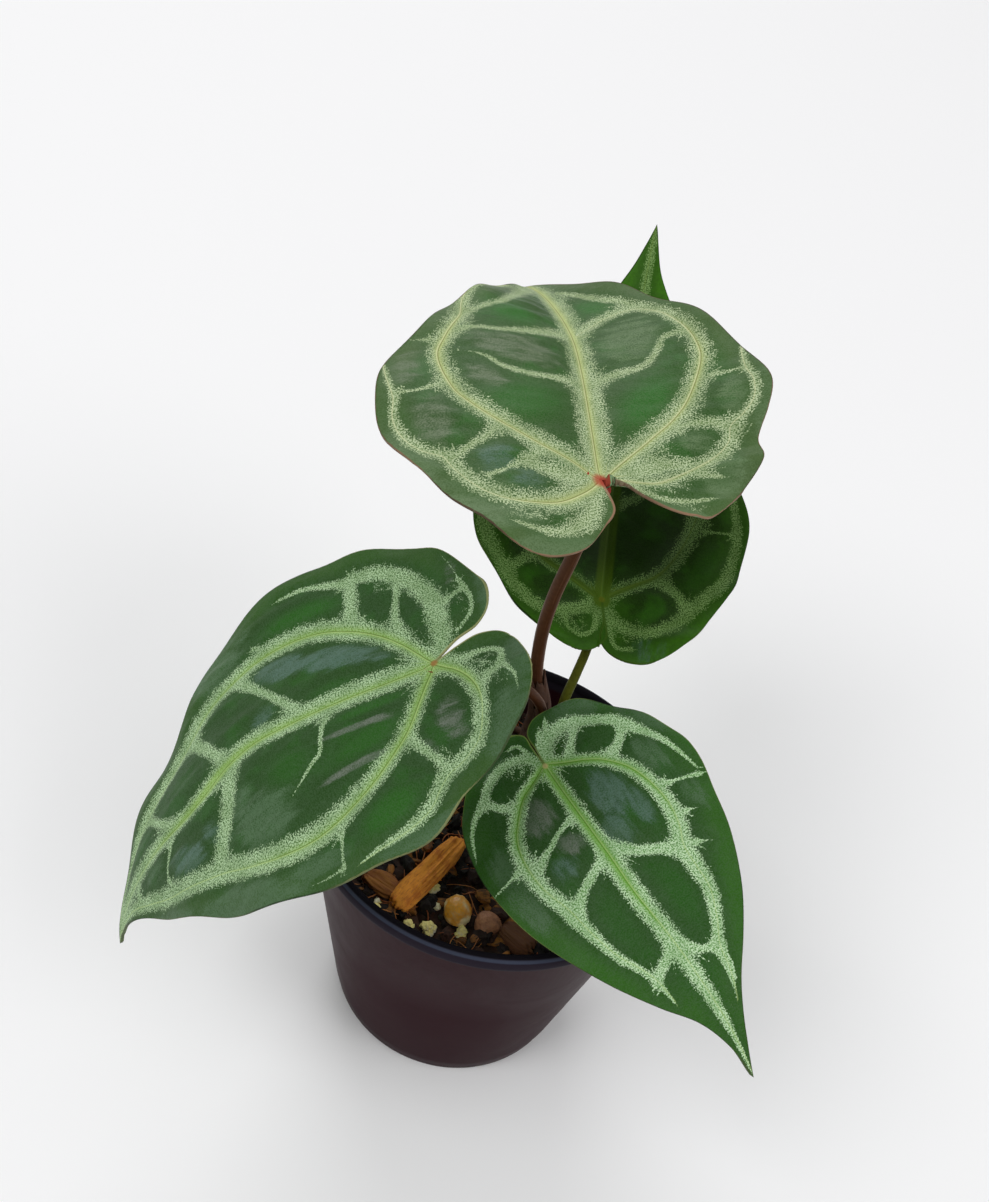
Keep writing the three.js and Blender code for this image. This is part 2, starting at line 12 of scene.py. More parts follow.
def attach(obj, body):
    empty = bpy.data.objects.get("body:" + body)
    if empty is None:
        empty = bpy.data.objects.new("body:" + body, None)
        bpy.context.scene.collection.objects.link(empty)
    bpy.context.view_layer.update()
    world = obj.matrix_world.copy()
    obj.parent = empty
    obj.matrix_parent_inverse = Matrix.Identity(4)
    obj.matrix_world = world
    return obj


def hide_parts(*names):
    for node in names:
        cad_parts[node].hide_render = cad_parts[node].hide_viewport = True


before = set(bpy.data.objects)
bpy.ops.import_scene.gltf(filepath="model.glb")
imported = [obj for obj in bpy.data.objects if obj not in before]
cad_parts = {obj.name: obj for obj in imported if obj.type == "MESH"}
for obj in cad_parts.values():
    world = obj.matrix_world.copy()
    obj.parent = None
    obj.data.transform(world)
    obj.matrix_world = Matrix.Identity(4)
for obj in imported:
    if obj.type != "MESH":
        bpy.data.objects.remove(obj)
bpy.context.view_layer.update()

bl_info = {
    "name": "Potted Anthurium",
    "version": (1, 0, 0),
    "blender": (4, 5, 0),
    "location": "View3D > Sidebar > Anthurium",
    "description": "Leaves, stalks, crown, mix and pot of a young silver-veined anthurium",
    "category": "Add Mesh",
}

MM = 0.001
SEEDS = {"crown": 5, "crumbs": 21, "grains": 8, "splinters": 34, "fibres": 13}

# The photograph's frame, the lens and the place of the camera.
PHOTO_WIDTH = 989
PHOTO_HEIGHT = 1202
PHOTO_FOCAL = 1300
SENSOR = 36.0
CAMERA_AT = (-0.01255, -0.22051, 0.34336)
CAMERA_RIGHT = (0.97195, 0.15645, 0.17560)
CAMERA_UP = (-0.23519, 0.64655, 0.72571)

# Blades, in millimetres and degrees: the frame's own, but with the notches of the back and front
# ones closed further and the back one's lobes lifted differently. Each half's margin runs from
# the joint round the lobe to the tip, as distance along the midrib and distance out from it.
BLADES = {
    "top": {
        "joint": (4.2, 14.4, 176.3), "length": 110, "heading": (-15, 18, -30),
        "pitch": (7.6, -21, -13), "lobe_pitch": 0, "roll": (15.4, -21.4), "cup": (0, 23.5),
        "sag": (11.8, -9.8), "lobe_lift": (0, 4),
        "left": [(0, 0), (-8, -2), (-14, 1), (-22, 7), (-25, 15), (-22, 23), (-14, 30), (-5, 37),
                 (5, 44.5), (15, 48), (26, 49), (36, 46.5), (47, 40), (60, 33), (72, 26),
                 (84, 17.5), (94, 10), (102, 4.5), (110, 0)],
        "right": [(0, 0), (1, 5), (-3, 10.5), (-6.5, 17), (-7, 22), (-4, 28), (3, 34), (11, 38),
                  (18, 38), (25, 40), (32, 41), (40, 38.5), (48, 35), (58, 29.5), (68, 23.5),
                  (80, 16.5), (92, 9.5), (101, 4.5), (110, 0)],
    },
    "back": {
        "joint": (15.3, 44.2, 117.2), "length": 113, "heading": (-6.1, 1.9, 0.8),
        "pitch": (24, 18, 6.5), "lobe_pitch": 25, "roll": (5.3, -4.3), "cup": (7.3, 0),
        "sag": (0, -2.1), "lobe_lift": (2.4, -0.4),
        "left": [(0, 0), (-5, -1), (-11, -2), (-15.4, 2.4), (-16, 10), (-13, 18), (-6, 26),
                 (2, 32.5), (12, 38), (22, 39), (32, 37), (44, 32), (56, 26), (70, 18.5),
                 (82, 12.5), (92, 8), (100, 4.2), (107, 1.8), (113, 0)],
        "right": [(0, 0), (-6, 1), (-12, 0.6), (-16, 4.5), (-17, 11), (-14, 18), (-8, 24.5),
                  (0, 30), (10, 35), (20, 37), (28, 37), (38, 34), (50, 29), (62, 23), (74, 17),
                  (84, 12), (93, 7), (100, 3.6), (107, 1.6), (113, 0)],
    },
    "left": {
        "joint": (-22.6, -12.6, 135.7), "length": 115.7, "heading": (-110.3, -21, -18),
        "pitch": (-25, -19, -44.6), "lobe_pitch": 44, "roll": (1.3, 22.2), "cup": (0.6, -9.5),
        "sag": (1, -2), "lobe_lift": (3.9, 3.4),
        "left": [(0, 0), (-6, -2.5), (-12, -3.4), (-18, -0.5), (-21, 7), (-22, 15), (-19, 24),
                 (-12, 30), (-2, 38), (7, 44.5), (18, 47), (29, 47), (42, 44), (55, 40),
                 (66, 34), (76, 26), (86, 18), (95, 9.5), (102, 4.5), (109, 1.5), (115.7, 0)],
        "right": [(0, 0), (-6, 4.2), (-12, 6), (-16, 10), (-16, 17), (-12, 26), (-6, 34),
                  (2, 39.5), (12, 44), (22, 47.5), (31, 48), (40, 46), (48, 43), (54, 39),
                  (59, 33.5), (65, 27), (74, 21.5), (83, 17.5), (91, 12), (99, 6), (107, 2),
                  (115.7, 0)],
    },
    "front": {
        "joint": (9, -7.2, 104.7), "length": 87, "heading": (140.8, -27, 14.3),
        "pitch": (-3.3, -1.1, -37.2), "lobe_pitch": 5, "roll": (25, 5), "cup": (0, 0),
        "sag": (2, 2), "lobe_lift": (0, 0),
        "left": [(0, 0), (-5, 0.2), (-10, 0.5), (-13.2, 4.6), (-13, 12), (-10, 18), (-4, 24),
                 (4, 29.5), (12, 32), (21, 32), (30, 29.5), (40, 26), (50, 21), (59, 14),
                 (67, 8), (74, 4), (81, 1.5), (87, 0)],
        "right": [(0, 0), (-6, 0.2), (-10, 0.5), (-11.6, 4.6), (-9, 13), (-5, 20), (2, 25),
                  (10, 27.5), (18, 28), (27, 27), (36, 24.5), (45, 21), (54, 16.5), (62, 11.5),
                  (70, 5.5), (78, 2), (87, 0)],
    },
}

# Veins of each blade: the widths of the silver band from start to end, the widths of the green
# core within it, and the route as distance along the midrib and distance to the right of it.
VEINS = {
    "top": [
        ((7.5, 8, 7.5, 6.5, 6, 6.5, 7, 5, 2.5), (1.2, 1, 1, 1.4, 1.6, 1.4, 0.8), [(0, 0), (14, 0),
         (28, 0), (42, 0), (56, 0), (70, -0.6), (84, -1), (98, -0.5), (110, 0)]),
        ((5, 6, 5.5, 5, 4.5, 4.5, 4.8, 3, 2.5, 2), (0.8, 0.7, 0.8, 1, 0.5, 0.2, 0), [(0, -0.5),
         (4, -6), (8, -14), (13, -22), (18, -28), (24, -32.5), (36, -35.6), (44, -34), (56, -29.8),
         (67, -28), (77, -23), (90, -12)]),
        ((5, 7, 5, 3.6, 3.6, 3.6, 2.5, 1.7, 1.4, 0.9), (1.4, 1.2, 0.5, 0, 0, 0, 0, 0), [(-1, -1),
         (-5, -5), (-9, -11), (-10, -18), (-9, -24), (-6, -29), (-2, -32.5), (2, -34.4), (4, -38.5),
         (8, -42), (14, -44.5), (20, -45), (26, -46.6), (33, -47.5)]),
        ((2, 2, 2.2, 3.2, 5, 4), (), [(57, -29), (63, -23.5), (68, -18), (76, -13.5), (88, -8),
         (101, -3)]),
        ((3, 2, 2.2, 3.2, 5), (), [(44, -34), (48, -28), (50, -20), (53, -12), (57, -3)]),
        ((2.6, 1.8, 2.2, 3), (), [(1, -33), (5, -29), (8, -25.5), (12, -23)]),
        ((1.2, 1, 2.6, 4), (), [(-4, -26), (-2, -23), (1, -18.5), (5, -14)]),
        ((5, 6.5, 5, 2.4), (), [(1, -3), (-1, -8), (0, -13), (1, -17)]),
        ((1, 0.9, 1.4, 3), (), [(21, -45), (22, -40), (24, -36.5), (26, -34)]),
        ((0.2, 1.2, 2, 1.8, 3.4), (), [(37, -30), (36, -25), (32.5, -20), (32, -12), (34, -3)]),
        ((1.2, 0.7, 0.1), (), [(42, -36), (42, -40), (43, -43.5)]),
        ((0.9, 1.8, 3, 4.6, 5, 4), (), [(-17.5, -21.5), (-19, -16), (-18, -11), (-15, -7),
         (-11, -4), (-5, -2.5)]),
        ((4, 5, 6, 5.6, 5.5, 5, 4.5, 3.6, 3, 3.6, 4, 5), (0.8, 0.7, 0.7, 0.9, 0.4, 0.1, 0),
         [(0, 0.5), (6, 5), (12, 10), (18, 15), (24, 20), (31, 24), (43, 28), (50, 27.5),
         (57, 24.8), (64, 21.6), (68.5, 17), (67.5, 10), (64, 5), (60, 1)]),
        ((2.6, 2.4, 2, 1.6), (), [(67, 19), (73, 14.5), (80, 8.8), (91, 3.5)]),
        ((3, 2.6, 2.8, 3.2, 3.8, 4, 2.4, 1.8, 1.6, 1.2), (0.5, 0.5, 0.4, 0, 0, 0), [(1, 2), (2, 8),
         (3, 14), (6, 19.5), (9, 24), (13, 29), (17, 31.8), (21, 32.2), (24, 35), (28, 37.4),
         (33, 37.6), (38, 36.6), (44, 36.8)]),
        ((4, 3, 3, 4), (), [(21, 32), (22, 28), (22, 23), (21, 18)]),
        ((5, 6.5, 5.4, 3), (), [(3.6, 5), (6.6, 11), (9, 16), (10, 22)]),
        ((2, 1), (), [(7, 24), (6.5, 29)]),
        ((3, 1.6, 1.4, 0.8), (), [(0, 8), (-2, 14), (-2, 20), (-1, 26)]),
        ((2, 0.9, 0.6), (), [(37, 27), (37, 32), (37, 36.5)]),
        ((5, 3, 2.2, 1.9, 1.6, 2), (), [(36, 2), (40, 8), (43, 15), (48, 18.5), (52, 20.4),
         (53, 25)]),
    ],
    "back": [
        ((3, 2.6, 2.2, 2.6, 3, 2.8, 1.4), (4.6, 4.4, 3.8, 2.4, 0.2, 0, 0), [(0, 0), (40, 0),
         (80, 0), (112, 0)]),
        ((3.6, 3.6, 4.2, 5, 5, 4.4, 3.6, 2.6, 1.4), (1.4, 0.8, 0.3, 0, 0, 0, 0, 0), [(0, 0), (3, 4),
         (6, 9), (9, 14), (14, 18), (21, 21.4), (30, 23.6), (44, 22.5), (60, 17), (80, 9),
         (90, 4)]),
        ((3.6, 3, 3.4, 3.4, 2.8, 2.2, 1.6, 1.3, 1), (), [(-2, 1), (-6, 4.5), (-8, 10), (-7, 15),
         (-4, 20), (0, 23.5), (5, 28), (10, 32), (17, 34), (26, 34), (42, 30), (58, 22)]),
        ((3, 2.4, 4), (), [(-1, 23), (4, 20), (8, 15.5)]),
        ((1.2, 0.8, 0.6), (), [(24, 23), (24, 34)]),
        ((1.4, 0.9), (), [(42, 23), (45, 29)]),
        ((3, 2.2, 3.4), (), [(28, 1), (34, 10), (42, 22)]),
        ((2.4, 1.8, 2.4), (), [(58, 1), (63, 8), (67, 14)]),
        ((3.6, 4, 4.4, 4.6, 4.2, 3.4, 2.4, 1.4), (1.6, 1.4, 1, 0.4, 0, 0, 0, 0), [(0, 0), (2, -4),
         (5, -11), (8, -18), (13, -23), (22, -26), (34, -26), (50, -22), (70, -13), (88, -5)]),
        ((3.6, 3, 3.4, 4.2, 3.6, 2.6, 1.8, 1), (), [(-2, -2), (-5, -8), (-7, -15), (-6, -20),
         (-2, -26), (5, -31), (12, -35), (22, -36.5), (36, -33), (54, -25)]),
        ((3, 2.4, 3), (), [(0, -28), (5, -24), (9, -19)]),
        ((1.2, 0.8), (), [(24, -26), (23, -35)]),
        ((3, 2.2, 3.4), (), [(30, -1), (36, -12), (43, -24)]),
        ((2.4, 1.8, 2.2), (), [(60, -1), (66, -9), (70, -13)]),
        ((1.6, 1.2, 1.2, 2.4), (), [(-7, -10), (-11, -9), (-12, -5), (-9, -1.5), (-4, -1)]),
        ((1.2, 1.2, 1.6, 2), (), [(-13, 9), (-13, 5), (-9, 3), (-4, 2)]),
    ],
    "left": [
        ((6.5, 7, 7, 6.4, 6.4, 5.6, 4.6, 4.6, 4.4, 3.2, 1), (1.2, 1, 1, 1.3, 2.6, 1, 0.4, 0.2, 0),
         [(0, 0), (12, -0.4), (24, 0.2), (36, 1.2), (46, 2.4), (54, 1.6), (62, -1), (70, -1.8),
         (80, -0.8), (92, -0.2), (104, 0), (115, 0)]),
        ((4, 4.4, 4.4, 5.4, 6.2, 6.4, 6.2, 5.4, 5, 4.6, 3.6, 2.6, 1),
         (1.6, 1.2, 0.9, 0.8, 0.4, 0.2, 0, 0), [(0, 0), (2, -3.5), (5, -9), (9, -16), (14, -21.5),
         (21, -27), (30, -31), (39, -32.4), (48, -31), (56, -27.5), (63, -23.5), (72, -19.4),
         (82, -14.6), (91, -8.6), (99, -3.6), (110, -0.6)]),
        ((4.4, 4.6, 4, 3.6, 3.8, 4.2, 4, 3.4, 2.4, 1.5, 0.6), (1.8, 1.2, 0.3, 0, 0, 0, 0, 0),
         [(0, -0.6), (-4, -3.4), (-7, -8), (-8.6, -14), (-8, -20), (-6, -26), (-2, -29.8),
         (2, -31.4), (5, -34.4), (8, -38), (13, -41), (19, -43.2), (27, -44.8)]),
        ((3.4, 2.4, 2.4, 3), (), [(9.5, -17.5), (7, -22.5), (4, -27), (1.5, -31)]),
        ((3.4, 2.6, 1.8, 1.4, 2, 3, 3), (), [(-2, -1), (-7, -1.4), (-12, -1.6), (-15.4, -4.4),
         (-15, -8.6), (-11.4, -10.6), (-8, -12.4)]),
        ((1.3, 0.9, 0.1), (), [(-15, -8.6), (-17.8, -15), (-17.4, -21.5)]),
        ((1.6, 1.0, 1.1, 0.7, 0.1), (), [(27, -3), (29.4, -8), (30.2, -12), (33, -14.2),
         (37, -17.4), (41, -20.6)]),
        ((1.1, 0.8, 0.7), (), [(30, -34), (31.2, -39), (32, -43.6)]),
        ((0.8, 0.5, 0.1), (), [(32, -43.2), (37, -43), (42, -42.4)]),
        ((5, 4, 4, 4.6), (), [(53, 0), (55.4, -7), (58.6, -13.6), (64, -21.4)]),
        ((1.6, 1.4), (), [(91, -0.6), (94.4, -5.6)]),
        ((0.9, 0.7), (), [(75, -4), (79.6, -9.4), (80.6, -14.4)]),
        ((4, 4.8, 5.4, 6, 6.4, 6, 5.4, 5, 4.8, 4.2, 3.2, 2, 1),
         (1.1, 1.2, 1.2, 0.9, 0.5, 0.2, 0, 0), [(0, 0), (3, 4.6), (6, 9), (10, 14), (16, 19.6),
         (24, 24.8), (33, 27.8), (42, 28.8), (50, 27), (57, 23.8), (63.4, 20), (71, 16.6),
         (79, 12.8), (87, 9.8), (97, 5), (108, 1)]),
        ((4.4, 5, 5.4, 5.4, 5, 4.8, 4, 3.2, 2.4, 1.5, 0.9), (), [(-1, 1), (-3, 6), (-3.2, 12),
         (-3, 18), (-1, 23.4), (2.4, 28.6), (6.4, 33), (11, 35.8), (17, 37.4), (22, 40), (26.4, 42),
         (32, 42.6)]),
        ((3.4, 3, 3.6, 4.6), (), [(15, 37), (15.4, 31), (16.2, 25.6), (17, 20)]),
        ((1.4, 1.4, 2.2, 4), (), [(4, 30), (5.2, 24.4), (6.6, 18), (6, 11.6)]),
        ((2.4, 1.5, 1), (), [(-3, 14.4), (-7, 16.8), (-11, 18)]),
        ((0.8, 1.1, 1.1, 0.8), (), [(-10.4, 20.4), (-12, 15), (-11.4, 10.4), (-7.6, 7)]),
        ((0.45, 0.35), (), [(-10.4, 20.4), (-9.6, 25), (-8, 29.6)]),
        ((3.4, 2.3, 2, 2.4, 4), (), [(33, 2), (36, 7.8), (39.4, 13.4), (43, 19.2), (47, 25.6)]),
        ((4, 3, 3, 4.6), (), [(53.6, 2), (57, 8), (60, 13.4), (64, 19)]),
        ((3, 2.2, 2.2, 1), (), [(73.4, -1), (78, 4.4), (82, 9), (89, 10)]),
        ((1, 0.6, 0.1), (), [(39, 30), (40.6, 32.8), (42.4, 35.6)]),
    ],
    "front": [
        ((3.6, 4, 4.2, 4.6, 5, 4.6, 4, 3, 1.2, 0.4), (2, 1.8, 1.5, 1.0, 0.4, 0.1, 0, 0), [(0, 0),
         (14, 0), (26, 0.2), (38, 0.8), (50, 0.4), (62, 0.2), (74, 0), (87, 0)]),
        ((2.2, 3.2, 3.8, 4, 4.2, 4.6, 4.6, 3.4, 2.7, 1.6, 0.2), (1.5, 1, 0.6, 0.2, 0, 0), [(0, -1),
         (2, -5), (4, -9), (7, -13), (12, -16.6), (18, -18.4), (25, -18.8), (31, -17.4), (36, -15),
         (41.4, -14.4), (47, -13.8), (53, -11), (58, -8), (63, -7), (67, -5.8), (70, -4.6)]),
        ((3.6, 4, 3.6, 3.2, 3, 2.8, 1.9, 1.1, 0.7), (), [(-1, -1), (-5, -3.6), (-7, -8),
         (-6.6, -12), (-4, -17), (-1, -21), (4, -24.4), (9, -27), (15, -28.6), (22, -29.8)]),
        ((2, 2, 3), (), [(-6, -12), (-2.4, -9), (1, -6)]),
        ((2.6, 2.4, 4), (), [(0.6, -21.6), (4, -19), (7, -14.6)]),
        ((1.2, 0.8, 1.4), (), [(24, -29.4), (22, -24), (20.6, -19.4)]),
        ((1.4, 0.4), (), [(36, -16), (38.4, -20.4)]),
        ((1.2, 0.4), (), [(29, -19), (30.4, -22.4)]),
        ((4, 2.6, 2.6, 4), (), [(26, -1), (30, -5), (33, -9.6), (36.4, -14.4)]),
        ((3, 1.6, 2), (), [(53.6, -1), (57, -4.4), (58, -8)]),
        ((2, 0.7), (), [(58, -7.4), (65.6, -7)]),
        ((1, 1.2, 1), (), [(-10.4, -6), (-7.6, -4.4), (-4, -2)]),
        ((1, 1), (), [(-8.6, -3), (-5, -1.4)]),
        ((2.4, 3.4, 4, 4.4, 4.2, 4, 3.6, 2.6, 2, 1.5, 0.7), (1.4, 0.9, 0.5, 0.2, 0, 0), [(0, 1),
         (2, 5), (4, 9), (8, 13), (12, 16), (18, 17.6), (25, 17.4), (32, 15.6), (40, 14.5),
         (47, 12.8), (53, 10), (57, 8.6), (63, 7.8)]),
        ((2.6, 2.6, 2.6, 2.6, 2, 0.9, 0.6), (), [(-1, 1), (-4, 3), (-5.6, 7), (-5, 11), (-3, 15),
         (0, 17.6), (2, 21), (5, 24), (9.4, 26.2)]),
        ((2, 2, 3), (), [(0, 17.6), (3, 15), (5.4, 11.6)]),
        ((0.9, 0.9, 0.9), (), [(-9, 5.4), (-8.4, 3), (-5, 2)]),
        ((1.6, 1.2, 1.5, 3), (), [(15, 1.4), (16, 6), (18, 10.4), (20.4, 16)]),
        ((2.8, 2.2, 2.4, 4), (), [(27, 1), (29, 6), (31, 10.6), (34.4, 15)]),
        ((3, 2.5, 2), (), [(52.6, 1), (55, 5.6), (57.4, 9)]),
        ((1.2, 0.7, 0.5), (), [(18, 18.6), (19, 23), (19.6, 27)]),
    ],
}

# Tinted patches of each blade by tint, where the blue and plum ones are painted sheen: the middle
# along and out, the half length and half width, the turn of the length from the midrib in degrees,
# and the strength.
TINT_KINDS = ("lush", "grey", "blue", "plum", "mist")
TINTS = {
    "top": {
        "lush": [
            (20, -18, 12, 7, 60, 0.7), (62, -17, 9, 7, -60, 1), (70, -24, 8, 3, -30, 1),
            (28, 14, 12, 6, 30, 0.9), (74, 8, 7, 5, -40, 1), (44, 32, 8, 3, 0, 0.7),
            (55, -38, 12, 4, 25, 0.8)
        ],
        "grey": [
            (-12, -26, 7, 12, 30, 1), (2, -41, 10, 4, -30, 1), (54, 13, 11, 8, 20, 0.9),
            (16, 24, 4, 6, 20, 0.6), (30, 33, 7, 4, 0, 0.7), (6, 30, 7, 5, 40, 1),
            (-22, -12, 4, 12, -10, 1), (26, 39, 12, 3, 0, 0.8), (100, 0, 12, 8, 0, 0.6),
            (-6, 16, 4, 10, 0, 0.8)
        ],
        "blue": [(1, -24, 5, 5, 0, 0.8), (-4, -17, 5, 5, 0, 0.6)],
        "plum": [
            (42, -18, 8, 14, 10, 0.7), (28, -25, 4, 6, 20, 0.7), (12, -37, 9, 6, -10, 0.6),
            (30, -43, 9, 5, 10, 0.6)
        ],
        "mist": [
            (-13, -16, 4, 9, -10, 0.5), (5, 14, 5, 9, 30, 0.5), (2, -13, 5, 5, 0, 0.45),
            (-3, 18, 2, 9, 10, 0.35)
        ],
    },
    "back": {
        # The back blade's lush patches are mostly painted light, on the parts that reach out of the
        # top blade's shadow.
        "lush": [
            (14, 36, 14, 3, 0, 0.8), (-12, -12, 4, 12, 10, 0.3), (100, 4, 16, 5, 0, 1),
            (100, -4, 16, 5, 0, 1), (12, 26, 10, 4, 30, 0.4)
        ],
        "blue": [(-13, 13, 5, 6, 0, 0.4)],
        "mist": [(-9, -9, 4, 6, 0, 0.5), (-8, 8, 4, 6, 0, 0.5), (12, -9, 5, 3, 0, 0.3)],
    },
    "left": {
        "lush": [
            (16, -6, 10, 1.6, 0, 1), (18, -15, 12, 3.5, -10, 0.8), (38, -12, 7, 5, 20, 0.6),
            (17, -36, 9, 4.5, -20, 1), (28, 33, 12, 3.5, 8, 1), (12, 43, 14, 3.5, 22, 0.9),
            (24, 4.5, 6, 2, 5, 0.7), (34, 45, 10, 3, -5, 0.9), (68, 8, 5, 4, 0, 0.4),
            (88, 5, 7, 2.5, -10, 0.8), (-6, 31, 6, 6, 40, 0.5)
        ],
        "grey": [
            (48, -21, 9, 8, 15, 1), (53, -12, 5, 6, 30, 0.8), (60, -35, 22, 5, 25, 1),
            (38, -39, 10, 3, 5, 0.9), (-14, -26, 7, 10, 30, 1), (10, -44, 14, 3, -10, 0.9),
            (52, 34, 9, 7, -40, 1), (-16, 14, 3, 12, 0, 0.7), (84, -6, 6, 3, 10, 0.6),
            (46, 40, 8, 4, -20, 0.5), (-19, -10, 4, 10, 0, 0.9), (84, -20, 14, 3, 38, 0.7)
        ],
        "blue": [
            (22, 13.5, 12, 4, 22, 1), (36, 20, 8, 4, 22, 1), (42, 8, 3, 5, 60, 0.6),
            (13, 9, 6, 3, 40, 0.6), (62, -14, 6, 3, 60, 0.6), (72, -13, 8, 4, 25, 0.7)
        ],
        "plum": [
            (20, -10.4, 10, 1.2, 4, 1), (22, -20.6, 9, 1.3, -6, 0.9), (5, -24, 2.5, 4, -30, 0.6),
            (-1.5, -18, 4.5, 8, 0, 0.55), (-9, 24, 2, 5, 10, 0.5)
        ],
        "mist": [
            (-10, -6, 5, 4, 0, 0.45), (-15, -11, 3, 6, 0, 0.35), (-10, 15, 2.5, 7, -10, 0.3),
            (2, -27, 3, 4, 0, 0.3), (7, 30, 4, 4, 30, 0.3)
        ],
    },
    "front": {
        "lush": [
            (44, -8, 10, 4, 0, 0.6), (42, 8, 10, 4, 0, 0.4), (66, 0, 14, 6, 0, 1),
            (50, 17, 14, 3, -22, 1), (52, -18, 16, 4, 28, 0.9), (14, -31, 10, 2, 0, 0.8),
            (60, 10, 8, 4, -20, 1), (62, -6, 8, 3, 20, 1)
        ],
        "grey": [
            (22, 22, 12, 4, 0, 1), (12, -23, 7, 4, -15, 0.8), (27, -25, 6, 4, 0, 0.6),
            (-9, -14, 4, 8, 10, 0.9), (2, -27, 8, 3, -30, 0.9), (-7, 12, 3, 8, 0, 0.7)
        ],
        "blue": [
            (15, -9, 8, 5, 0, 0.9), (22, -13, 6, 3, 0, 0.9), (24, -5, 6, 4, 0, 0.8),
            (24, 10, 4, 4, 0, 0.6)
        ],
        "plum": [(10, 9, 5, 5, 30, 1), (20, 6, 3, 4, 30, 0.9)],
        "mist": [(-5, -7, 4, 4, 0, 0.5), (-4, 6, 4, 5, 0, 0.5), (70, 0, 8, 2, 0, 0.25)],
    },
}

# Stalk routes and their radii, in millimetres, from the crown to the knee, and how far under the
# joint the last two points lie.
STALKS = {
    "top": {
        "route": [(6.5, 20, 84), (5.6, 19.3, 97), (2.2, 18, 110.5), (0.8, 17, 126),
                  (1.2, 16.2, 139), (2.7, 15.4, 152), (3.7, 14.6, 164)],
        "radius": (1.75, 1.65), "slot": "stalk_brown",
    },
    "back": {
        "route": [(12, 23, 84), (11.9, 25, 95.5), (13.4, 30.5, 101.5), (14.8, 37, 107.5)],
        "radius": (1.4, 1.15), "slot": "stalk_olive",
    },
    "left": {
        "route": [(6.3, 15.6, 84), (6.6, 14.9, 98.5), (2.1, 12, 108.5), (-7, 5, 118.5),
                  (-15.5, -4.5, 127)],
        "radius": (1.4, 1.25), "slot": "stalk_brown",
    },
    "front": {
        "route": [(11.5, 16, 84), (11.2, 13, 94.5), (10.4, 7, 100.5), (9.6, 0.5, 102.5)],
        "radius": (1.4, 1.2), "slot": "stalk_brown",
    },
}
STALK_ENDS = (4.5, 1.3)

# Middle and half length of a stalk's knee, as shares of the knee's length, and how far down the
# flare and the tint under its blade reach, in millimetres.
KNEE_MIDDLE = 0.55
KNEE_HALF = 0.42
FLARE_REACH = 1.2
HEAD_REACH = 1.8

# How a blade is laid out and formed, shared by all blades, as on the frame's own blades.
FAN_COLUMNS = 18
MIDRIB_COLUMNS = 24
VEIN_SWEEP = 0.5
SINUS_START = 0.15
MARGIN_STEPS = 1200
BEHIND = 30
WIDTH_SHARE = 0.38
FOLD_SOFTNESS = 0.1
LOBE_START = 0.08
LOBE_REACH = 0.25
RIPPLE_PACE = 0.9

# The flat plan: its scale and middle on the texture map, how near its points are joined, the size
# of a sliver that is taken out, and how many points of the margin are measured to.
PLAN_SCALE = 1 / 128
PLAN_MIDDLE = (0.5, 0.25)
PLAN_WELD = 1e-4
PLAN_SLIVER = 1e-5
MARGIN_POINTS = 500

# Relief of a blade, in millimetres: where the quilting starts within a band's edge, how softly it
# rises and how often it is smoothed, the reach of furrows and ribs, the half width of the midrib,
# the calm strip at the margin, and the edge of a dent as a share of its size.
QUILT_START = 1.6
QUILT_SOFTNESS = 2.6
QUILT_ROUNDS = 20
FURROW_REACH = 0.8
RIB_REACH = 0.9
MIDRIB_HALF = 1.5
RIM_STRIP = 3.0
DENT_EDGE = 0.16

BLADE_GRID = (212, 88)

# How many points are measured at once, how softly bands join, and how far apart their grain is
# taken from.
BATCH = 4000
VEIN_MERGE = 0.6
VEIN_SHIFT = 61.0

# Pace of the wrinkles along the midrib and across it, and their height beside the plain one.
PLEATS = {"top": (0.26, 0.07, 1.3), "left": (0.08, 0.24, 1.0), "back": (0.17, 0.12, 0.8),
          "front": (0.17, 0.12, 0.8)}

# Small ring dents in a blade: the middle, the half size and the depth, in millimetres.
DIMPLES = {"front": [((14.5, -6.0), (4.6, 3.8), 0.45)]}


def seen(red, green, blue):
    """A colour as seen, on a scale of 0 to 255, as a linear colour."""
    def linear(value):
        part = value / 255
        return part / 12.92 if part <= 0.04045 else ((part + 0.055) / 1.055) ** 2.4

    return (linear(red), linear(green), linear(blue))


def colour(name, text, value):
    return FloatVectorProperty(name=name, description=text, default=value, subtype="COLOR",
                               size=3, min=0.0, max=1.0)


def length(name, text, value):
    return FloatProperty(name=name, description=text, default=value, subtype="DISTANCE",
                         unit="LENGTH", min=0.0)


def share(name, text, value):
    return FloatProperty(name=name, description=text, default=value, min=0.0, max=4.0)


def amount(name, text, value):
    return IntProperty(name=name, description=text, default=value, min=0)


class LeafSettings(bpy.types.PropertyGroup):
    thickness: length("Blade thickness", "Thickness of the flat blade", 0.55 * MM)
    rib_depth: length("Rib depth", "How far the midrib stands out below", 1.5 * MM)
    puff: length("Quilting", "How far the cells rise between the veins", 1.0 * MM)
    furrow: length("Furrow", "Depth of the line along each main vein", 0.35 * MM)
    ripple: length("Margin ripple", "Height of the waves at the margin", 0.9 * MM)
    pucker: length("Pucker", "Height of the fine wrinkles in the cells", 0.4 * MM)
    velvet: colour("Velvet", "Dark green of the cells", seen(36, 68, 22))
    lush: colour("Lush green", "Clear green of the sunlit cells", seen(38, 94, 18))
    grey: colour("Grey-green", "Dull green towards the margin", seen(84, 112, 80))
    # Painted sheen: the next two colours stand in for blue-grey and purple-grey light on the cells.
    sheen: colour("Bloom", "Blue-grey bloom on the cells", seen(90, 117, 106))
    plum: colour("Plum bloom", "Purple-grey streaks on the cells", seen(118, 124, 114))
    silver: colour("Silver", "Bright specks of the vein bands", seen(176, 206, 156))
    shade: colour("Silver shade", "Green between the silver specks", seen(96, 134, 74))
    rib: colour("Rib green", "Yellow-green core of the main veins", seen(146, 184, 84))
    underside: colour("Underside", "Pale matt green below", seen(112, 140, 96))


